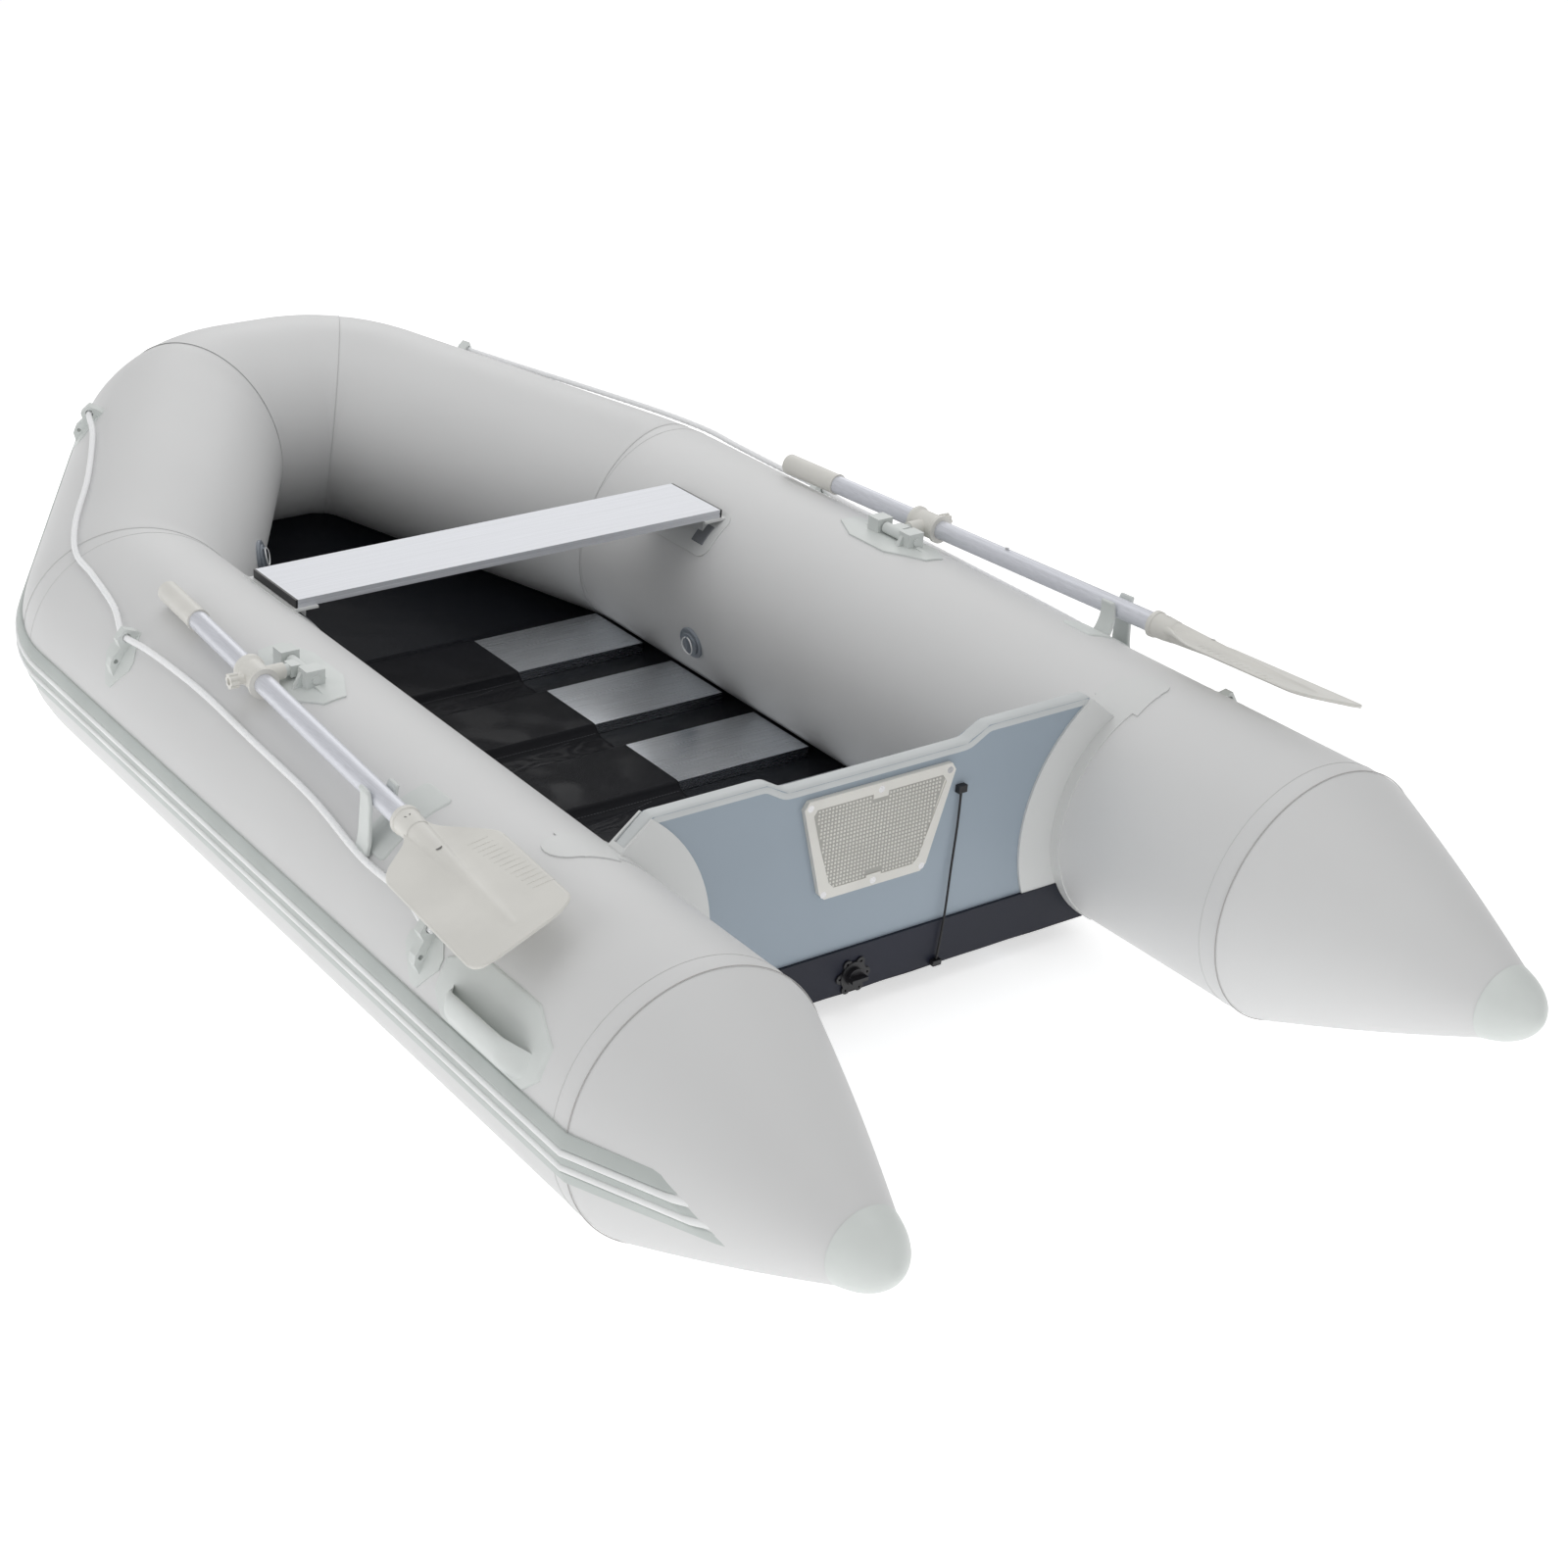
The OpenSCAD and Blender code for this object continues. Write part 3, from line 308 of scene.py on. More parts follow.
def sweep(name, P, r, mat, sides=8, body="hull", closed=False, replaces=(), up=V(0.1, 0.2, 1)):
    P = np.asarray(P, float)
    if closed:
        P = np.vstack([P[-1:], P, P[:1]])
    T, W = frames_along(P, up)
    if closed:
        P, T, W = P[1:-1], T[1:-1], W[1:-1]
    U = np.cross(T, W)
    r = np.broadcast_to(np.asarray(r, float), (len(P),))
    vs = []
    for i in range(len(P)):
        for k in range(sides):
            a = 2 * math.pi * k / sides
            vs.append(P[i] + r[i] * (math.cos(a) * W[i] + math.sin(a) * U[i]))
    fs = grid_faces(len(P), sides, True)
    n = len(P)
    if closed:
        # stitch the last ring to the first with the best offset
        last = [(n - 1) * sides + k for k in range(sides)]
        off = min(range(sides), key=lambda o: np.linalg.norm(vs[last[0]] - vs[o]))
        for k in range(sides):
            a, b = last[k], last[(k + 1) % sides]
            fs.append((a, b, (k + 1 + off) % sides, (k + off) % sides))
    else:
        fs.append(tuple(range(sides))[::-1])
        fs.append(tuple((n - 1) * sides + k for k in range(sides)))
    return make(name, vs, fs, mat, body, True, replaces)


def catmull(P, m):
    P = np.asarray(P, float)
    out = []
    for i in range(len(P) - 1):
        p0, p1, p2, p3 = P[max(i - 1, 0)], P[i], P[i + 1], P[min(i + 2, len(P) - 1)]
        for k in range(m):
            t = k / m
            out.append(0.5 * (2 * p1 + (p2 - p0) * t + (2 * p0 - 5 * p1 + 4 * p2 - p3) * t * t + (3 * p1 - p0 - 3 * p2 + p3) * t ** 3))
    out.append(P[-1])
    return np.array(out)


def mirror_pts(P):
    P = np.array(P, float)
    P[..., 0] *= -1
    return P


def bevel(ob, width=0.0008, seg=2, angle=35):
    b = ob.modifiers.new("bevel", "BEVEL")
    b.width = width
    b.segments = seg
    b.limit_method = "ANGLE"
    b.angle_limit = math.radians(angle)
    b.harden_normals = False


def paint(name, mat, bev=None):
    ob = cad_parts[name]
    for i in range(len(ob.data.materials)):
        ob.data.materials[i] = mat
    if not ob.data.materials:
        ob.data.materials.append(mat)
    if bev:
        bevel(ob, bev)
    return ob


# ------------------------------------------------------------------ hull dimensions (metres)
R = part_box("starboard_main_tube")[1][2] / 2
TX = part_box("starboard_main_tube")[1][0] - R
Y0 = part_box("starboard_main_tube")[0][1]
HALF = 0.163
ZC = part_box("bow_cross_tube")[1][2] - R
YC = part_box("bow_cross_tube")[1][1] - R
YJ = YC - 0.590
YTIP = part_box("cone_caps")[0][1]
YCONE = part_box("starboard_stern_cone")[0][1]
TIP_R = (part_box("cone_caps")[1][0] - TX)
A = V(TX, YJ, R)
B = V(HALF, YC, ZC)


def side_path(step=0.012):
    """Rounded centreline from the cone seam to the centre of the bow."""
    def corner(p, q, s, rho):
        d1 = (q - p) / np.linalg.norm(q - p)
        d2 = (s - q) / np.linalg.norm(s - q)
        ang = math.acos(np.clip(d1 @ d2, -1, 1))
        t = rho * math.tan(ang / 2)
        a = q - d1 * t
        n = d2 - d1 * (d1 @ d2)
        n /= np.linalg.norm(n)
        c = a + n * rho
        k = 15
        return [c + rho * (-n * math.cos(x) + d1 * math.sin(x)) for x in np.linspace(0, ang, k)]

    start = V(TX, Y0, R)
    c1 = corner(start, A, B, 0.212)
    c2 = corner(A, B, B * V(-1, 1, 1), 0.212)
    end = V(0, YC, ZC)

    def line(p, q):
        n = max(2, int(np.linalg.norm(q - p) / step))
        return [p + (q - p) * t for t in np.linspace(0, 1, n, endpoint=False)][1:]

    P = [start] + line(start, c1[0]) + c1
    ia = len(P) - 8
    P += line(c1[-1], c2[0]) + c2
    ib = len(P) - 8
    P += line(c2[-1], end) + [end]
    return np.array(P), ia, ib


PATH, IA, IB = side_path()
TT, WW = frames_along(PATH, V(1, 0, 0))
TT[0] = V(0, 1, 0)
TT[-1] = V(-1, 0, 0)
UU = np.cross(TT, WW)
SL = np.concatenate([[0], np.cumsum(np.linalg.norm(np.diff(PATH, axis=0), axis=1))])


def seam_dip(s, marks, depth=0.0011, width=0.006):
    return -sum(depth * math.exp(-((s - m) / width) ** 2) for m in marks)


def surf(s, ang, h=0.0):
    """Point on the starboard hull at path length s, angle above outboard, height h off the fabric."""
    i = int(np.clip(np.searchsorted(SL, s) - 1, 0, len(SL) - 2))
    t = (s - SL[i]) / (SL[i + 1] - SL[i])
    P = PATH[i] * (1 - t) + PATH[i + 1] * t
    w_ = WW[i] * (1 - t) + WW[i + 1] * t
    u_ = UU[i] * (1 - t) + UU[i + 1] * t
    a = math.radians(ang)
    return P + (R + h) * (math.cos(a) * w_ - math.sin(a) * u_)


SIDES = 120


def hull_section(name, i0, i1, mirror, node_name, mat=PVC):
    marks = [0.0, SL[IA], SL[IB]]
    P, Wv, Uv, S = PATH[i0:i1 + 1], WW[i0:i1 + 1], UU[i0:i1 + 1], SL[i0:i1 + 1]
    vs = []
    for p, w_, u_, s in zip(P, Wv, Uv, S):
        r = R + seam_dip(s, marks)
        for k in range(SIDES):
            a = 2 * math.pi * k / SIDES
            q = p + r * (math.cos(a) * w_ - math.sin(a) * u_)
            q[2] = max(q[2], 0.0)
            vs.append(q)
    if mirror:
        vs = mirror_pts(vs)
    return make(name, vs, grid_faces(len(P), SIDES, True), mat, "hull", True, (node_name,) if node_name else ())


N = len(PATH)
for side, mir in (("starboard", False), ("port", True)):
    hull_section(side + "_tube_skin", 0, IA, mir, side + "_main_tube")
    hull_section(side + "_bow_skin", IA, IB, mir, side + "_bow_tube")


def cross_section_piece():
    P = np.vstack([PATH[IB:], mirror_pts(PATH[IB:-1])[::-1]])
    Wv = np.vstack([WW[IB:], mirror_pts(WW[IB:-1])[::-1]])
    Uv = np.vstack([UU[IB:], mirror_pts(UU[IB:-1])[::-1]])
    vs = []
    for i in range(len(P)):
        for k in range(SIDES):
            a = 2 * math.pi * k / SIDES
            vs.append(P[i] + R * (math.cos(a) * Wv[i] - math.sin(a) * Uv[i]))
    return make("bow_skin", vs, grid_faces(len(P), SIDES, True), PVC, "hull", True, ("bow_cross_tube",))


cross_section_piece()


def cone_piece(side, mir):
    """Stern cone, very slightly full as an inflated cone is."""
    vs, n = [], 34
    L = Y0 - YCONE
    for i in range(n):
        t = i / (n - 1)
        r = R + (TIP_R - R) * t + 0.004 * math.sin(math.pi * t) - 0.0011 * math.exp(-(t * L / 0.006) ** 2)
        for k in range(SIDES):
            a = 2 * math.pi * k / SIDES
            vs.append(V(TX + r * math.cos(a), Y0 - t * L, max(R + r * math.sin(a), 0)))
    if mir:
        vs = mirror_pts(vs)
    make(side + "_cone_skin", vs, grid_faces(n, SIDES, True), PVC, "hull", True, (side + "_stern_cone",))


def cap_piece():
    vs, fs = [], []
    L = (YCONE - YTIP) / 0.0778
    turn = [(0, 61), (0, 63), (1.5, 63.2), (14, 59.5), (28, 54.5), (42, 47.5), (54, 39), (64, 29), (71.5, 18), (76, 9), (77.6, 2), (77.8, 0.2)]
    prof = [(y * L / 1000, r / 62 * TIP_R) for y, r in catmull(turn, 3)]
    for s in (1, -1):
        base = len(vs)
        for y, r in prof:
            for k in range(72):
                a = 2 * math.pi * k / 72
                vs.append(V(s * TX + max(r, 0.0002) * math.cos(a), YCONE - y, R + max(r, 0.0002) * math.sin(a)))
        fs += grid_faces(len(prof), 72, True, base)
        fs.append(tuple(base + (len(prof) - 1) * 72 + k for k in range(72)))
    make("cone_end_caps", vs, fs, CAP, "hull", True, ("cone_caps",), 50)


for side, mir in (("starboard", False), ("port", True)):
    cone_piece(side, mir)
cap_piece()


def ring_line(name, s, mir, r=0.0009, off=0.0004, mat=SEAM, a0=0, a1=360):
    P = [surf(s, a, off) for a in np.linspace(a0, a1, 150, endpoint=(a1 - a0) < 360)]
    if mir:
        P = mirror_pts(P)
    return sweep(name, P, r, mat, 6, closed=(a1 - a0) >= 360)


for side, mir in (("starboard", False), ("port", True)):
    first = ring_line(side + "_seam_cone", 0.002, mir, 0.0007)
    ring_line(side + "_seam_cone_tape", 0.034, mir, 0.0005, 0.0001, SEAML)
    ring_line(side + "_seam_joint", SL[IA], mir, 0.0005, 0.0, SEAML)
    ring_line(side + "_seam_joint_tape", SL[IA] - 0.034, mir, 0.0005, 0.0001, SEAML)
    ring_line(side + "_seam_bow", SL[IB], mir, 0.0007, 0.0001, SEAML)
    if side == "starboard":
        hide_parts("seam_tapes")


# ------------------------------------------------------------------ rub strake
def strake_loft(name, prof, mat, replaces=()):
    """Sweeps a profile of (tangential offset down, height) round the hull, with slanted stern ends."""
    drop = 0.008
    fwd_s = list(np.arange(0.0, SL[-1], 0.02)) + [SL[-1]]
    stern = np.linspace(1, 0, 9)[:-1]
    vs = []
    m = len(prof)
    for t in stern:
        for u, h in prof:
            y_end = 0.131 + (0.227 - 0.131) * (u + 0.0375) / 0.075
            y = y_end * t
            rr = R + (TIP_R - R) * y / (Y0 - YCONE)
            a = -(drop + u) / rr
            e = min(1.0, (1 - t) * 14 + 0.25)
            vs.append(V(TX + (rr + h * e) * math.cos(a), Y0 - y, R + (rr + h * e) * math.sin(a)))
    for s in fwd_s:
        for u, h in prof:
            vs.append(surf(s, math.degrees(-(drop + u) / R), h))
    half = np.array(vs).reshape(-1, m, 3)
    full = np.concatenate([half, mirror_pts(half[:-1])[::-1]])
    n = len(full)
    fs = grid_faces(n, m, False)
    return make(name, full.reshape(-1, 3), fs, mat, "hull", True, replaces, 50)


T0 = 0.0086
strake_loft("strake_band", [(-0.0375, -0.001), (-0.0372, 0.0035), (-0.034, 0.0058), (-0.022, 0.0074), (-0.0195, T0), (-0.0175, T0),
    (-0.0165, 0.0066), (-0.0160, 0.0062), (-0.0060, 0.0062), (-0.0045, 0.0085), (0.0045, 0.0085), (0.006, 0.0062), (0.0160, 0.0062),
    (0.0165, 0.0066), (0.0175, T0), (0.0195, T0), (0.022, 0.0074), (0.034, 0.0058), (0.0372, 0.0035), (0.0375, -0.001)], STRAKE, ("rub_strake",))
for i, c in enumerate((-0.0105, 0.0105)):
    P = [(c + 0.0050 * math.cos(a), 0.0064 + 0.0054 * math.sin(a)) for a in np.linspace(math.pi, 0, 13)]
    strake_loft("strake_stripe_%d" % i, P, WHITE, ("strake_piping",) if i == 0 else ())

# ------------------------------------------------------------------ quick materials on the CAD nodes
def rest_of_materials():
    for n, m, b in (("floor_slats", ALU, 0.001), ("transom_board", TRANSOM, 0.002),
        ("transom_holders", PVC2, 0.0012), ("transom_foot_strip", BLACK2, 0.0006), ("motor_pad", CREAM, 0.0022),
        ("motor_pad_screws", STEEL, 0.0004), ("drain_valve_body", BLKP, 0.0008), ("drain_plug", BLKP, 0.0012), ("cord_clips", BLKP, 0.001),
        ("bench_board", ALUB, 0.001), ("bench_end_caps", BLKP, 0.001), ("bench_holders", PVC2, 0.001), ("oarlock_bases", GREY, 0.0015),
        ("oarlock_pins", GREY, 0.0006), ("line_fittings", GREY, 0.0015), 
        ("air_valve_bodies", VALVE, 0.0008)):
        paint(n, m, b)
    for s in ("port", "starboard"):
        for n, m in (("oar_swivel", GREY), ("oar_collar", CREAM), ("thumb_knob", CREAM), ("upper_shaft", ALUY), ("lower_shaft", ALUY),
            ("oar_grip", CREAM), ("snap_button", STEEL)):
            paint(s + "_" + n, m, 0.0008)
    for s in ("port", "starboard", "bow"):
        paint(s + "_valve_cap", VALVE, 0.0008)
        paint(s + "_valve_stem", BLKP)


rest_of_materials()


# ------------------------------------------------------------------ grab lines and drain cord
SIDE_D = (B - A) / np.linalg.norm(B - A)
MITRE = (V(0, 1, 0) + SIDE_D) / np.linalg.norm(V(0, 1, 0) + SIDE_D)
W_SIDE = V(1, 0, 0) - 2 * MITRE[0] * MITRE
RUNS = [(V(TX, Y0, R), V(0, 1, 0), V(1, 0, 0)), (A, SIDE_D, W_SIDE)]


def at_run(i, s, a, h):
    """Point on tube run i at distance s, angle a above outboard and height h off the tube."""
    p, d, w_ = RUNS[i]
    a = math.radians(a)
    return p + d * s + (R + h) * (math.cos(a) * w_ - math.sin(a) * np.cross(d, w_))


def eye(i, s, a, ds):
    return (i, s + ds, a + math.degrees(math.atan(0.027 / 0.217)), math.hypot(0.027, 0.217) - 0.203)


REAR, MID, FORE = (0, 0.385, 28), (0, 1.405, 37), (1, 0.512, 37)
LINE = [eye(*REAR, -0.014), eye(*REAR, 0.014), (0, 0.47, 38, 0.009), (0, 0.59, 38, 0.0085), (0, 0.76, 43, 0.0075),
    (0, 0.95, 45, 0.0075), (0, 1.15, 47, 0.0075), (0, 1.32, 46, 0.009), eye(*MID, -0.014), eye(*MID, 0.014),
    (0, 1.5, 51, 0.009), (0, 1.62, 56, 0.008), (0, 1.71, 59, 0.009), (1, 0.06, 60, 0.009), (1, 0.22, 58, 0.008),
    (1, 0.4, 51, 0.009), eye(*FORE, -0.014), eye(*FORE, 0.014)]
LINE_R = 0.0055


def resample(P, step):
    P = np.asarray(P, float)
    L = np.concatenate([[0], np.cumsum(np.linalg.norm(np.diff(P, axis=0), axis=1))])
    t = np.linspace(0, L[-1], max(2, int(L[-1] / step)))
    return np.array([[np.interp(x, L, P[:, k]) for k in range(3)] for x in t]), L[-1]


def braided(name, route, r, sides=16, pitch=0.016, depth=0.14):
    """Braided line: two sets of strands wound opposite ways, raised where they cross over."""
    P, length = resample(catmull(route, 12), 0.0028)
    T, W_ = frames_along(P, V(0.1, 0.2, 1))
    U = np.cross(T, W_)
    vs = []
    for i in range(len(P)):
        s = i * length / (len(P) - 1)
        for k in range(sides):
            a = 2 * math.pi * k / sides
            f = max(math.sin(4 * a + 2 * math.pi * s / pitch), math.sin(4 * a - 2 * math.pi * s / pitch))
            vs.append(P[i] + r * (1 - depth / 2 + depth * 0.5 * f) * (math.cos(a) * W_[i] + math.sin(a) * U[i]))
    fs = grid_faces(len(P), sides, True)
    fs.append(tuple(range(sides))[::-1])
    fs.append(tuple((len(P) - 1) * sides + k for k in range(sides)))
    return vs, fs, P, length


def grab_lines():
    for side, mir in (("starboard", False), ("port", True)):
        route = [at_run(*p) for p in LINE]
        if mir:
            route = mirror_pts(route)
        vs, fs, P, length = braided(side, route, LINE_R)
        ob = make(side + "_braided_line", vs, fs, ROPE, "hull", True, (side + "_grab_line",))


grab_lines()

# Points of the drain cord's route, from the clip on the transom down to the clip on the foot strip
DRAIN = [(0.158, -0.723, 0.324), (0.157, -0.724, 0.270), (0.153, -0.725, 0.200), (0.149, -0.727, 0.130),
    (0.144, -0.7285, 0.080), (0.140, -0.7285, 0.043)]


def drain_line():
    P, length = resample(catmull(DRAIN, 10), 0.004)
    ob = sweep("drain_line", P, 0.0018, BLKC, 10, replaces=("drain_cord",))


drain_line()

# ------------------------------------------------------------------ floor fabric
FLOOR_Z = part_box("floor_slats")[0][2]
SLAT_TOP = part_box("floor_slats")[1][2]
SLAT_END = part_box("floor_slats")[1][0]
SLAT_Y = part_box("floor_slats")[1][1]
SLAT_W, PITCH = 0.163, 0.259
BOW_FLOOR_Y = YJ + 0.012
BOW_RUN, BOW_RISE = 0.52, 0.128


def wrinkle(x, y, seed, size):
    """Smooth sum of a few slanted waves, from -1 to 1."""
    r = random.Random(seed)
    t = 0
    for k in range(6):
        a, f, ph = r.uniform(0, 2 * math.pi), r.uniform(0.6, 1.8) / size, r.uniform(0, 6)
        t += math.sin(f * (x * math.cos(a) + y * math.sin(a)) + ph + 1.3 * math.sin(f * 0.6 * y + k))
    return t / 6


def floor_sheet():
    y_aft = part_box("floor_skin")[0][1]
    half = 0.452
    rows = [(y, FLOOR_Z, half) for y in np.linspace(y_aft, BOW_FLOOR_Y, 180)]
    slope = math.atan(BOW_RISE / BOW_RUN)
    for t in np.linspace(0, 1, 60)[1:]:
        rows.append((BOW_FLOOR_Y + t * BOW_RUN * math.cos(slope), FLOOR_Z + t * BOW_RUN * math.sin(slope), half - (half - 0.115) * t))
    vs, m = [], 110
    for y, z, h in rows:
        for j in range(m):
            x = -h + 2 * h * j / (m - 1)
            under = 0.25 if abs(x) < SLAT_END and -0.6 < y < SLAT_Y else 1.0
            vs.append(V(x, y, z + under * (0.0012 * wrinkle(x, y, 3, 0.055) + 0.0008 * wrinkle(x, y, 5, 0.02)) - 0.0006))
    ob = make("floor_fabric", vs, grid_faces(len(rows), m), BLACKF, "hull", True, ("floor_skin",))


floor_sheet()
SLEEVE_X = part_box("slat_sleeve")[1][0]


def sleeve_height(x, y):
    """Height of the sleeve over the slats and the gaps between them."""
    k = round((SLAT_Y - SLAT_W / 2 - y) / PITCH)
    k = min(max(k, 0), 4)
    d = abs(y - (SLAT_Y - SLAT_W / 2 - k * PITCH)) - SLAT_W / 2
    if d <= 0:
        return SLAT_TOP + 0.0016 + 0.0003 * wrinkle(x, y, 11, 0.03)
    t = min(1, d / 0.024)
    low = FLOOR_Z + 0.0025 + 0.0016 * (1 + wrinkle(x, y, 12, 0.03)) + 0.0008 * wrinkle(x, y, 13, 0.012)
    return low + (SLAT_TOP + 0.0016 - low) * (1 - t) ** 1.6


def sleeve_sheet():
    y0, y1 = SLAT_Y + 0.048, SLAT_Y - 4 * PITCH - SLAT_W - 0.048
    n, m = 420, 90
    vs = []
    for i in range(n):
        y = y0 + (y1 - y0) * i / (n - 1)
        for j in range(m):
            x = -SLAT_END - 0.003 + (SLEEVE_X + SLAT_END + 0.003) * j / (m - 1)
            vs.append(V(x, y, sleeve_height(x, y)))
    hem = sweep("sleeve_hem", [(SLEEVE_X, y, sleeve_height(SLEEVE_X, y)) for y in np.linspace(y0, y1, 400)], 0.0008, SLEEVE, 6)
    ob = make("slat_sleeve_fabric", vs, grid_faces(n, m), SLEEVE, "hull", True, ("slat_sleeve",))
    stitches()


def stitch_row(P, vs, fs, gap=0.0062, size=0.0034, wide=0.0005):
    """Adds short raised stitches along a path over the sleeve."""
    Q, _ = resample([(x, y, 0) for x, y in P], gap)
    for a, b in zip(Q[:-1], Q[1:]):
        d = (b - a) / np.linalg.norm(b - a)
        c0, c1 = a, a + d * size
        n = V(-d[1], d[0], 0) * wide
        k = len(vs)
        for q in (c0 - n, c0 + n, c1 + n, c1 - n):
            vs.append(V(q[0], q[1], sleeve_height(q[0], q[1]) + 0.0007))
        fs.append((k, k + 1, k + 2, k + 3))


def stitches():
    vs, fs = [], []
    x0, x1 = -SLAT_END + 0.006, SLEEVE_X - 0.004
    for k in range(5):
        y1 = SLAT_Y - k * PITCH
        y0 = y1 - SLAT_W
        for y in (y0 - 0.014, y1 + 0.014):
            stitch_row([(x0, y), (x1, y)], vs, fs)
        if k < 4:
            g0, g1 = y0 - 0.018, y0 - (PITCH - SLAT_W) + 0.018
            stitch_row([(x0 + 0.1, g0), (x1 - 0.06, g1)], vs, fs)
            stitch_row([(x0 + 0.1, g1), (x1 - 0.06, g0)], vs, fs)
    make("sleeve_stitches", vs, fs, STITCH, "hull", False)


STITCH = plastic_mat("grey_thread", (0.06, 0.062, 0.07), 0.6)
sleeve_sheet()

# ------------------------------------------------------------------ transom edging and motor pad
Y_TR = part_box("transom_board")[0][1]
BOARD_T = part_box("transom_board")[1][1] - Y_TR
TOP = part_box("transom_edging")[1][2]


def edging():
    """Rounded U-shaped trim along the top of the transom, with soft steps down to the motor well."""
    low = TOP - 0.021
    half = [(x, low) for x in np.linspace(0, 0.152, 9)] + [(0.168, TOP - 0.0195), (0.185, TOP - 0.0105), (0.202, TOP - 0.0015)]
    half += [(x, TOP) for x in np.linspace(0.218, 0.396, 10)]
    half += [(0.404, TOP - 0.003), (0.415, TOP - 0.012), (0.430, TOP - 0.0255), (0.444, TOP - 0.038), (0.456, TOP - 0.049)]
    P = catmull([(-x, Y_TR + BOARD_T / 2, z) for x, z in half[::-1]] + [(x, Y_TR + BOARD_T / 2, z) for x, z in half[1:]], 8)
    w_, d, r = BOARD_T / 2 + 0.0015, 0.0135, 0.008
    prof = [(-w_ + 0.0015, -d), (-w_, -d + 0.001), (-w_, -r)]
    prof += [(-w_ + r - r * math.cos(a), -r + r * math.sin(a)) for a in np.linspace(0.2, math.pi / 2, 6)]
    prof += [(-x, z) for x, z in prof[::-1]]
    vs = []
    for i, p in enumerate(P):
        t = P[min(i + 1, len(P) - 1)] - P[max(i - 1, 0)]
        t /= np.linalg.norm(t)
        up = V(-t[2], 0, t[0])
        for y, z in prof:
            vs.append(p + V(0, y, 0) + up * z)
    m = len(prof)
    fs = grid_faces(len(P), m, False) + [tuple(range(m)), tuple((len(P) - 1) * m + k for k in range(m))[::-1]]
    make("transom_trim", vs, fs, EDGE, "hull", True, ("transom_edging",), 45)


edging()


def pad_grid():
    """Small raised squares over the recessed face of the motor pad, over a dark quad that is painted shade in the
    gaps between them.
    """
    lo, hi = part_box("motor_pad")
    pitch, size, high = 0.0062, 0.0038, 0.0011
    y = lo[1] + 0.0015
    zt, zb = hi[2] - 0.0175, lo[2] + 0.0175
    vs, fs = [], []
    z = zb
    while z < zt - size:
        f = (z + size / 2 - lo[2]) / (hi[2] - lo[2])
        half = (hi[0] - 0.040) + 0.040 * f - 0.0185
        n = int(half / pitch)
        for i in range(-n, n + 1):
            x = i * pitch
            if abs(x) < 0.016 and (z < zb + 0.012 or z > zt - 0.013):
                continue
            k = len(vs)
            a, b = size / 2, size / 2 - 0.0005
            for h, q in ((0.0004, a), (-high, b)):
                vs += [V(x - q, y + h, z), V(x + q, y + h, z), V(x + q, y + h, z + 2 * q), V(x - q, y + h, z + 2 * q)]
            fs += [(k + 4, k + 5, k + 6, k + 7)] + [(k + j, k + (j + 1) % 4, k + 4 + (j + 1) % 4, k + 4 + j) for j in range(4)]
        z += pitch
    make("motor_pad_squares", vs, fs, CREAM, "hull", False)
    # Dark quad on the recessed face behind the squares: painted shade in the gaps.
    t, b, y = hi[0] - 0.0165, hi[0] - 0.0565, lo[1] + 0.00135
    make("motor_pad_recess_shade", [(-b, y, lo[2] + 0.0165), (b, y, lo[2] + 0.0165), (t, y, hi[2] - 0.0165), (-t, y, hi[2] - 0.0165)], [(0, 1, 2, 3)], PAD_RECESS_SHADE, "hull", False)


pad_grid()


# ------------------------------------------------------------------ patches, handles, webbing
def on_tube(y, ang, tau, v, h):
    """Point near the starboard main tube: tau metres round towards outboard from ang, v metres fore of y."""
    a = math.radians(ang) - tau / R
    return V(TX + (R + h) * math.cos(a), y + v, R + (R + h) * math.sin(a))


def slab(name, y, ang, outline, h, mat, mir, round_=0.002, replaces=(), body="hull"):
    """Flat patch stuck on the main tube in a convex outline of (tau, v) points."""
    O = np.array(outline, float)
    vmin, vmax = O[:, 1].min(), O[:, 1].max()
    rows = np.unique(np.concatenate([np.linspace(vmin + 1e-5, vmax - 1e-5, 70), np.clip(O[:, 1], vmin + 1e-5, vmax - 1e-5)]))
    m, vs = 30, []
    for v in rows:
        xs = []
        for (x0, v0), (x1, v1) in zip(O, np.roll(O, -1, axis=0)):
            if (v0 - v) * (v1 - v) <= 0 and v0 != v1:
                xs.append(x0 + (x1 - x0) * (v - v0) / (v1 - v0))
        a, b = min(xs), max(xs)
        ends = min(1, (min(v - vmin, vmax - v) / round_) ** 0.5) if round_ else 1
        for j in range(m):
            f = j / (m - 1)
            f = 0.5 - 0.5 * math.cos(math.pi * f)
            x = a + (b - a) * f
            e = min(1, max(0, min(x - a, b - x) / round_)) ** 0.5
            vs.append(on_tube(y, ang, x, v, -0.0006 + (h + 0.0006) * e * ends))
    if mir:
        vs = mirror_pts(vs)
    return make(name, vs, grid_faces(len(rows), m), mat, body, True, replaces)


HY, HA = Y0 + 0.207, 20


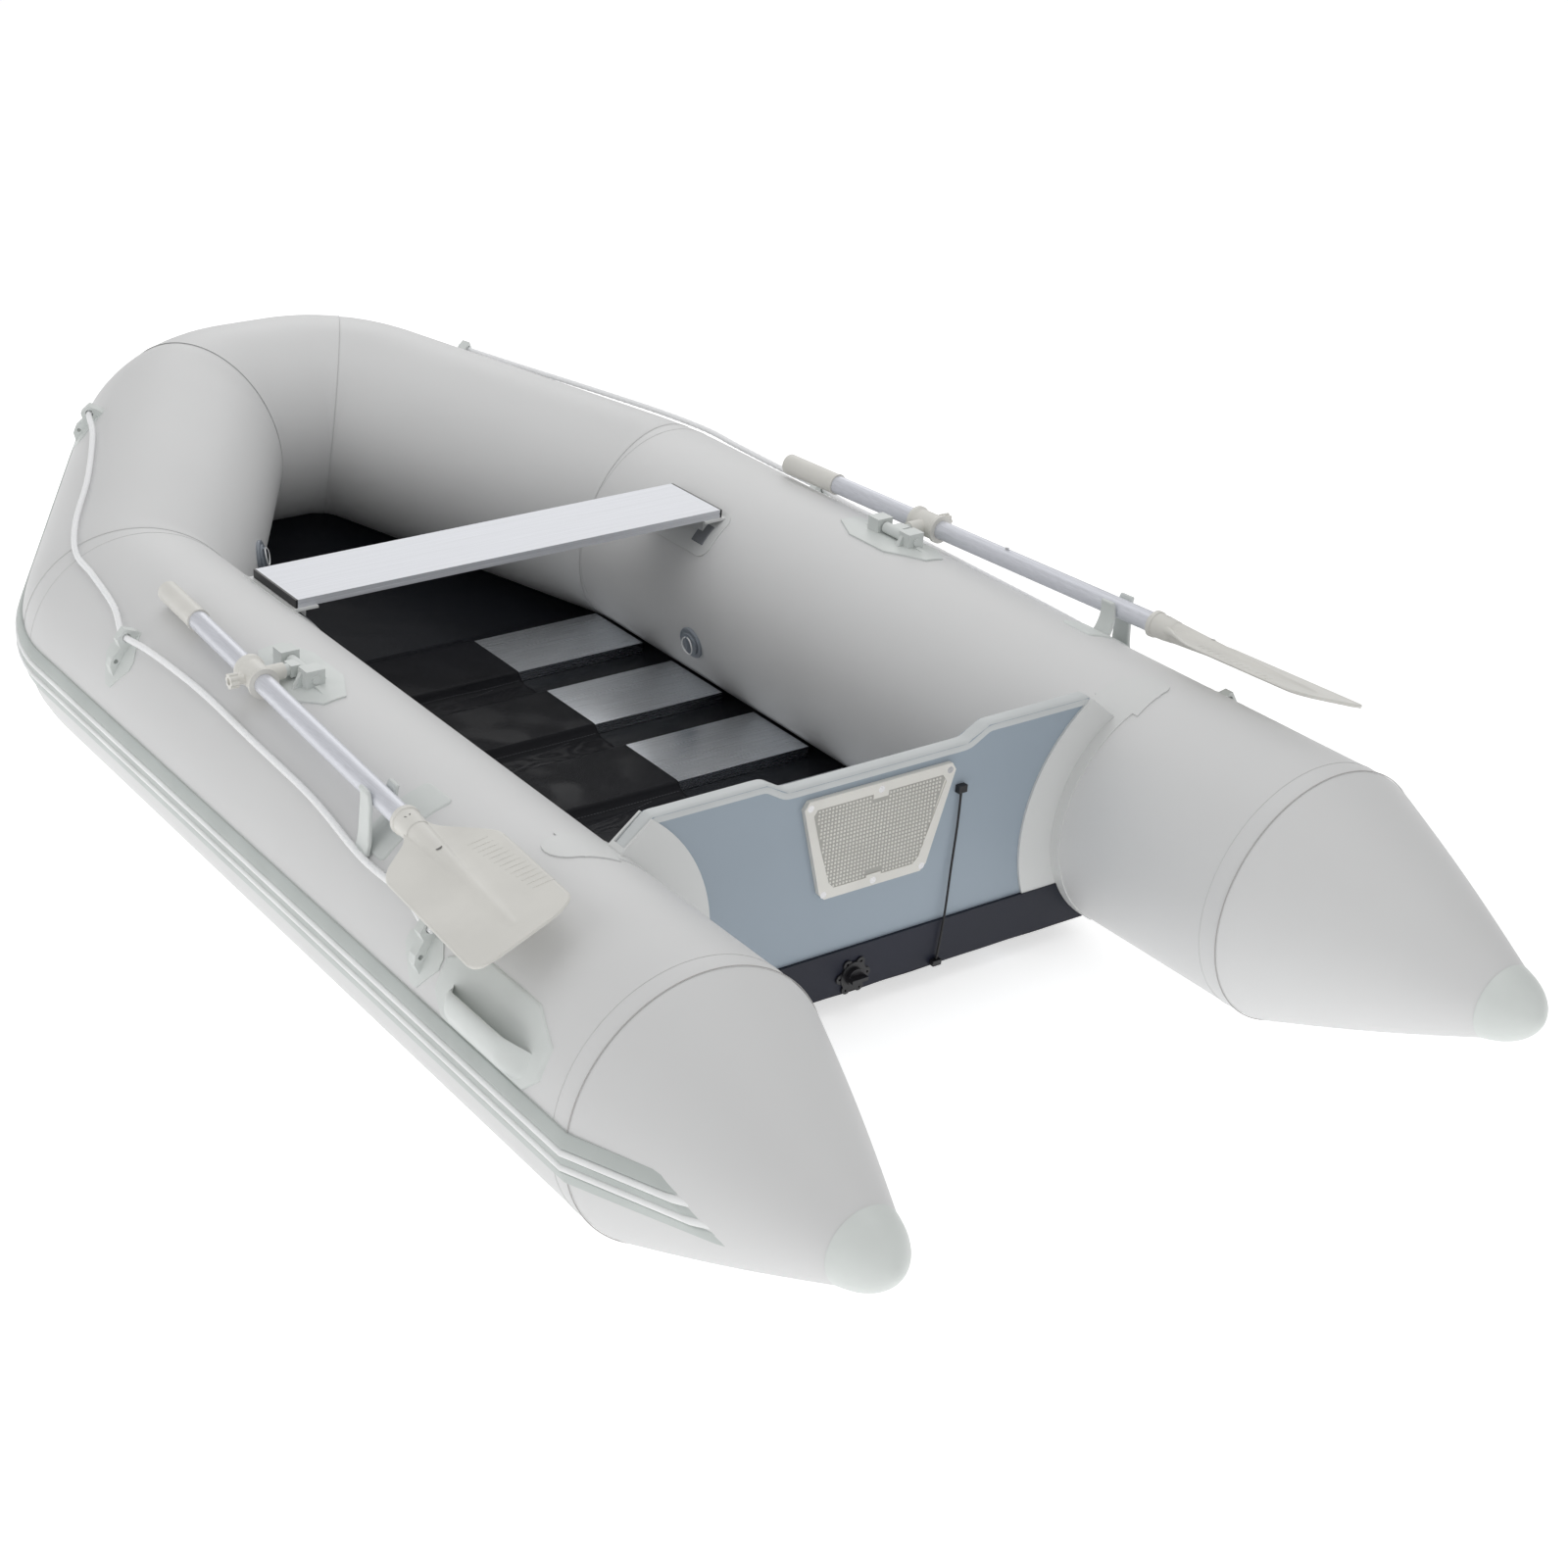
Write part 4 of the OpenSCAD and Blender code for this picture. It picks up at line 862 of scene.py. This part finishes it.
def carry_handle(side, mir):
    low = 0.0405
    plate = [(-0.070, -0.071), (-0.036, -0.131), (0.010, -0.131), (low, -0.100), (low, 0.100), (0.010, 0.131), (-0.036, 0.131), (-0.070, 0.071)]
    slab(side + "_handle_plate", HY, HA, plate, 0.0028, GREY, mir, 0.003)
    prof = catmull([(0.036, 0.002), (0.031, 0.010), (0.022, 0.022), (0.010, 0.032), (-0.004, 0.0375), (-0.013, 0.0372), (-0.0165, 0.0335),
        (-0.0135, 0.029), (-0.002, 0.0245), (0.010, 0.016), (0.018, 0.003)], 3)
    n, vs = 70, []
    for i in range(n):
        v = -0.106 + 0.204 * i / (n - 1)
        a, b = (v + 0.106) / 0.040, (0.098 - v) / 0.046
        f = min(1, max(0, min(a, b)))
        f = f * f * (3 - 2 * f)
        for t, h in prof:
            vs.append(on_tube(HY, HA, t * (0.75 + 0.25 * f), v, 0.0015 + (h - 0.0015) * f))
    if mir:
        vs = mirror_pts(vs)
    make(side + "_handle_scoop", vs, grid_faces(n, len(prof)), GREY, "hull", True, ("carry_handles",) if not mir else ())


def webbing(side, mir):
    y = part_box("bench_board")[0][1]
    yc = (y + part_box("bench_board")[1][1]) / 2
    slab(side + "_webbing", yc - 0.062, 138, [(-0.020, -0.017), (0.020, -0.017), (0.020, 0.017), (-0.020, 0.017)], 0.0042, WEB, mir, 0.0012)


def tether(name, i, s, a, mir):
    """Moulded strap that keeps a valve cap from being lost: a small loop over the rim."""
    P = []
    for t in np.linspace(0, 1, 26):
        x = math.radians(-60 + 330 * t)
        r = 0.013 + 0.004 * math.sin(math.pi * t)
        along, across = s + r * math.cos(x) - 0.008, a + math.degrees((r * math.sin(x) - 0.006) / R)
        P.append(at_run(i, along, across, 0.0145 + 0.004 * math.sin(math.pi * t)))
    sweep(name, mirror_pts(P) if mir else P, 0.0013, WHITE, 8)


def valve_details():
    side_valve = (0, 0.238 - Y0, 195)
    valves = (("starboard_valve", *side_valve, False), ("port_valve", *side_valve, True), ("bow_valve", 1, 0.24, 172, True))
    for name, i, s, a, mir in valves:
        tether(name + "_tether", i, s, a, mir)
        P = []
        for x in np.linspace(0, 2 * math.pi, 60, endpoint=False):
            turn = a + math.degrees(0.0285 * math.sin(x) / R)
            P.append(at_run(i, s + 0.0285 * math.cos(x), turn, 0.0042 - 0.002 * math.sin(x) ** 2))
        sweep(name + "_rim", mirror_pts(P) if mir else P, 0.0021, VALVE, 8, closed=True)


valve_details()
for side, mir in (("starboard", False), ("port", True)):
    carry_handle(side, mir)
    webbing(side, mir)

# ------------------------------------------------------------------ oar clips and oar blades
OAR = V(TX + 0.102, -0.033, 2 * R + 0.012)
TOE, TILT = math.radians(4), math.radians(20)
NECK, TIP, BLADE_H, BLADE_T = -0.518, -0.882, 0.084, 0.005


def oar_point(x, y, z, tilt=0.0):
    """Point from the oar's own frame (x outboard, y down, z towards the grip) to the shared frame."""
    c, s_ = math.cos(tilt), math.sin(tilt)
    x, y = x * c - y * s_, x * s_ + y * c
    p = V(x, z, -y)
    c, s_ = math.cos(TOE), math.sin(TOE)
    return OAR + V(p[0] * c - p[1] * s_, p[0] * s_ + p[1] * c, p[2])


CLIP_Z = -0.438


def strip(name, pts, wide, thick, z, mat, mir, replaces=()):
    """Bent strip standing on the hull: pts are (x, y) in the oar's frame, wide the width at each end."""
    P = catmull(pts, 4)
    vs, n = [], len(P)
    for i, p in enumerate(P):
        t = P[min(i + 1, n - 1)] - P[max(i - 1, 0)]
        t /= np.linalg.norm(t)
        q = V(-t[1], t[0]) * thick / 2
        w_ = (wide[0] + (wide[1] - wide[0]) * i / (n - 1)) / 2
        e = 0.55 if i == 0 else 1
        c = 0.0016
        for sx, sz in ((-1, -w_ + c), (-0.5, -w_), (0.5, -w_), (1, -w_ + c), (1, w_ - c), (0.5, w_), (-0.5, w_), (-1, w_ - c)):
            vs.append(oar_point(p[0] + q[0] * sx * e, p[1] + q[1] * sx * e, z + sz * (1 if i else 0.93)))
    if mir:
        vs = mirror_pts(vs)
    fs = grid_faces(n, 8, True) + [tuple(range(8))[::-1], tuple((n - 1) * 8 + k for k in range(8))]
    return make(name, vs, fs, mat, "hull", True, replaces, 40)


def rounded_outline(t0, t1, v0, v1, rad):
    out = []
    for ct, cv, a0 in ((t1 - rad, v1 - rad, 0), (t0 + rad, v1 - rad, 90), (t0 + rad, v0 + rad, 180), (t1 - rad, v0 + rad, 270)):
        for k in range(7):
            a = math.radians(a0 + 15 * k)
            out.append((ct + rad * math.cos(a), cv + rad * math.sin(a)))
    return out


def oar_clip(side, mir):
    """Two sprung prongs, each rising from its own rounded pad."""
    y = Y0 + 0.590
    strip(side + "_clip_outer", [(0.0240, -0.016), (0.0210, -0.007), (0.0198, 0.006), (0.0205, 0.024), (0.0212, 0.046), (0.0225, 0.066), (0.026, 0.082)],
        (0.026, 0.038), 0.0068, CLIP_Z, GREY, mir, ("oar_clips",) if not mir else ())
    strip(side + "_clip_inner", [(-0.0235, -0.016), (-0.0205, -0.007), (-0.0190, 0.006), (-0.0205, 0.020), (-0.026, 0.034), (-0.034, 0.044), (-0.042, 0.047)],
        (0.026, 0.038), 0.0064, CLIP_Z, GREY, mir)
    slab(side + "_clip_pad_inner", y, 60, rounded_outline(-0.070, -0.008, -0.034, 0.036, 0.011), 0.0026, GREY, mir)
    slab(side + "_clip_pad_outer", y, 60, rounded_outline(0.004, 0.066, -0.036, 0.034, 0.011), 0.0026, GREY, mir)


def blade_outline():
    h, t = BLADE_H, TIP
    corners = [(-0.016, NECK - 0.022, 0.004), (0.016, NECK - 0.022, 0.004), (0.024, NECK - 0.050, 0.02), (h - 0.012, NECK - 0.084, 0.02), (h, NECK - 0.106, 0.02),
        (h, t + 0.012, 0.030), (h - 0.018, t, 0.03), (-h + 0.030, t + 0.016, 0.03), (-h, t + 0.030, 0.03), (-h, NECK - 0.134, 0.02),
        (-h + 0.014, NECK - 0.112, 0.02), (-0.024, NECK - 0.052, 0.02)]
    out = []
    for i, (x, z, rad) in enumerate(corners):
        p, a, b = V(x, z), V(*corners[i - 1][:2]), V(*corners[(i + 1) % len(corners)][:2])
        d1, d2 = a - p, b - p
        r = min(rad, 0.45 * np.linalg.norm(d1), 0.45 * np.linalg.norm(d2))
        p1, p2 = p + d1 / np.linalg.norm(d1) * r, p + d2 / np.linalg.norm(d2) * r
        for k in range(6):
            f = k / 5
            out.append((1 - f) ** 2 * p1 + 2 * f * (1 - f) * p + f * f * p2)
    return np.array(out)


def blade(side, mir):
    O = blade_outline()
    z0, z1 = O[:, 1].min() + 1e-5, O[:, 1].max() - 1e-5
    rows = np.linspace(z0, z1, 150)
    m, top, under = 64, [], []
    for z in rows:
        xs = []
        for (xa, za), (xb, zb) in zip(O, np.roll(O, -1, axis=0)):
            if (za - z) * (zb - z) <= 0 and za != zb:
                xs.append(xa + (xb - xa) * (z - za) / (zb - za))
        a, b = min(xs), max(xs)
        f = (z - (TIP + 0.04)) / (NECK - TIP - 0.04)
        rs = 0.003 + 0.0172 * max(0, f)
        for j in range(m):
            x = a + (b - a) * j / (m - 1)
            edge = min(1, min(x - a, b - x) / 0.002, (z - z0) / 0.002 + 0.02)
            plate = BLADE_T / 2 * math.sqrt(max(0, 1 - (1 - edge) ** 2)) + 0.00005
            spine = math.sqrt(max(0, rs * rs - x * x)) if f > 0 else 0
            skirt = 0.006 * max(0, f) ** 0.3 * math.exp(-(x / (1.35 * rs)) ** 2) if f > 0 else 0
            y = max(plate + skirt * edge, spine)
            top.append(oar_point(x, -y, z, TILT))
            under.append(oar_point(x, y, z, TILT))
    n = len(rows)
    vs = top + under
    fs = grid_faces(n, m) + [tuple(i + n * m for i in f_)[::-1] for f_ in grid_faces(n, m)]
    for i in range(n - 1):
        for j in (0, m - 1):
            fs.append((i * m + j, (i + 1) * m + j, n * m + (i + 1) * m + j, n * m + i * m + j))
    neck = [(NECK - 0.046, 0.0182), (NECK - 0.030, 0.0198), (NECK - 0.009, 0.0205), (NECK - 0.008, 0.0222), (NECK - 0.001, 0.0225), (NECK, 0.0215), (NECK, 0.0166)]
    base = len(vs)
    for z, r in neck:
        for k in range(48):
            a = 2 * math.pi * k / 48
            vs.append(oar_point(r * math.cos(a), r * math.sin(a), z))
    fs += grid_faces(len(neck), 48, True, base)
    if mir:
        vs = mirror_pts(vs)
    make(side + "_blade", vs, fs, CREAM, side + "_oar", True, (side + "_oar_blade",), 50)
    for k in range(13):
        z = NECK - 0.128 - 0.0125 * k
        x = -0.034 - 0.0016 * k
        P = [oar_point(x - 0.030 * t, -BLADE_T / 2 - 0.0001 + 0.0006 * abs(2 * t - 1) ** 3, z - 0.006 * t, TILT) for t in np.linspace(0, 1, 9)]
        sweep(side + "_blade_rib_%d" % k, mirror_pts(P) if mir else P, 0.0008, CREAM, 6, side + "_oar")
    for z, y in ((NECK - 0.024, -0.0202), (NECK - 0.117, -0.0146)):
        P = [oar_point(0.0052 * math.cos(a), y + 0.0004, z + 0.0022 * math.sin(a) + 0.001 * math.cos(2 * a), TILT) for a in np.linspace(0, 2 * math.pi, 20, endpoint=False)]
        P = mirror_pts(P) if mir else P
        make(side + "_blade_slot_%d" % int(-z * 1000), P, [tuple(range(20))], SLOT, side + "_oar", False)


SLOT = plastic_mat("slot_shadow", (0.16, 0.16, 0.15), 0.6)
for side, mir in (("starboard", False), ("port", True)):
    blade(side, mir)
    oar_clip(side, mir)


# ------------------------------------------------------------------ floor under everything
me = bpy.data.meshes.new("ground")
GROUND_HALF, GROUND_Z = 60, -0.002
corners = [(-1, -1), (1, -1), (1, 1), (-1, 1)]
me.from_pydata([(GROUND_HALF * x, GROUND_HALF * y, GROUND_Z) for x, y in corners], [], [(0, 1, 2, 3)])
gm, _, gp = new_mat("white_sweep", (0.8, 0.8, 0.8), 0.9)
gp.inputs["Emission Color"].default_value = (1, 1, 1, 1)
gp.inputs["Emission Strength"].default_value = 0.58
me.materials.append(gm)
ground = bpy.data.objects.new("ground", me)
scene.collection.objects.link(ground)
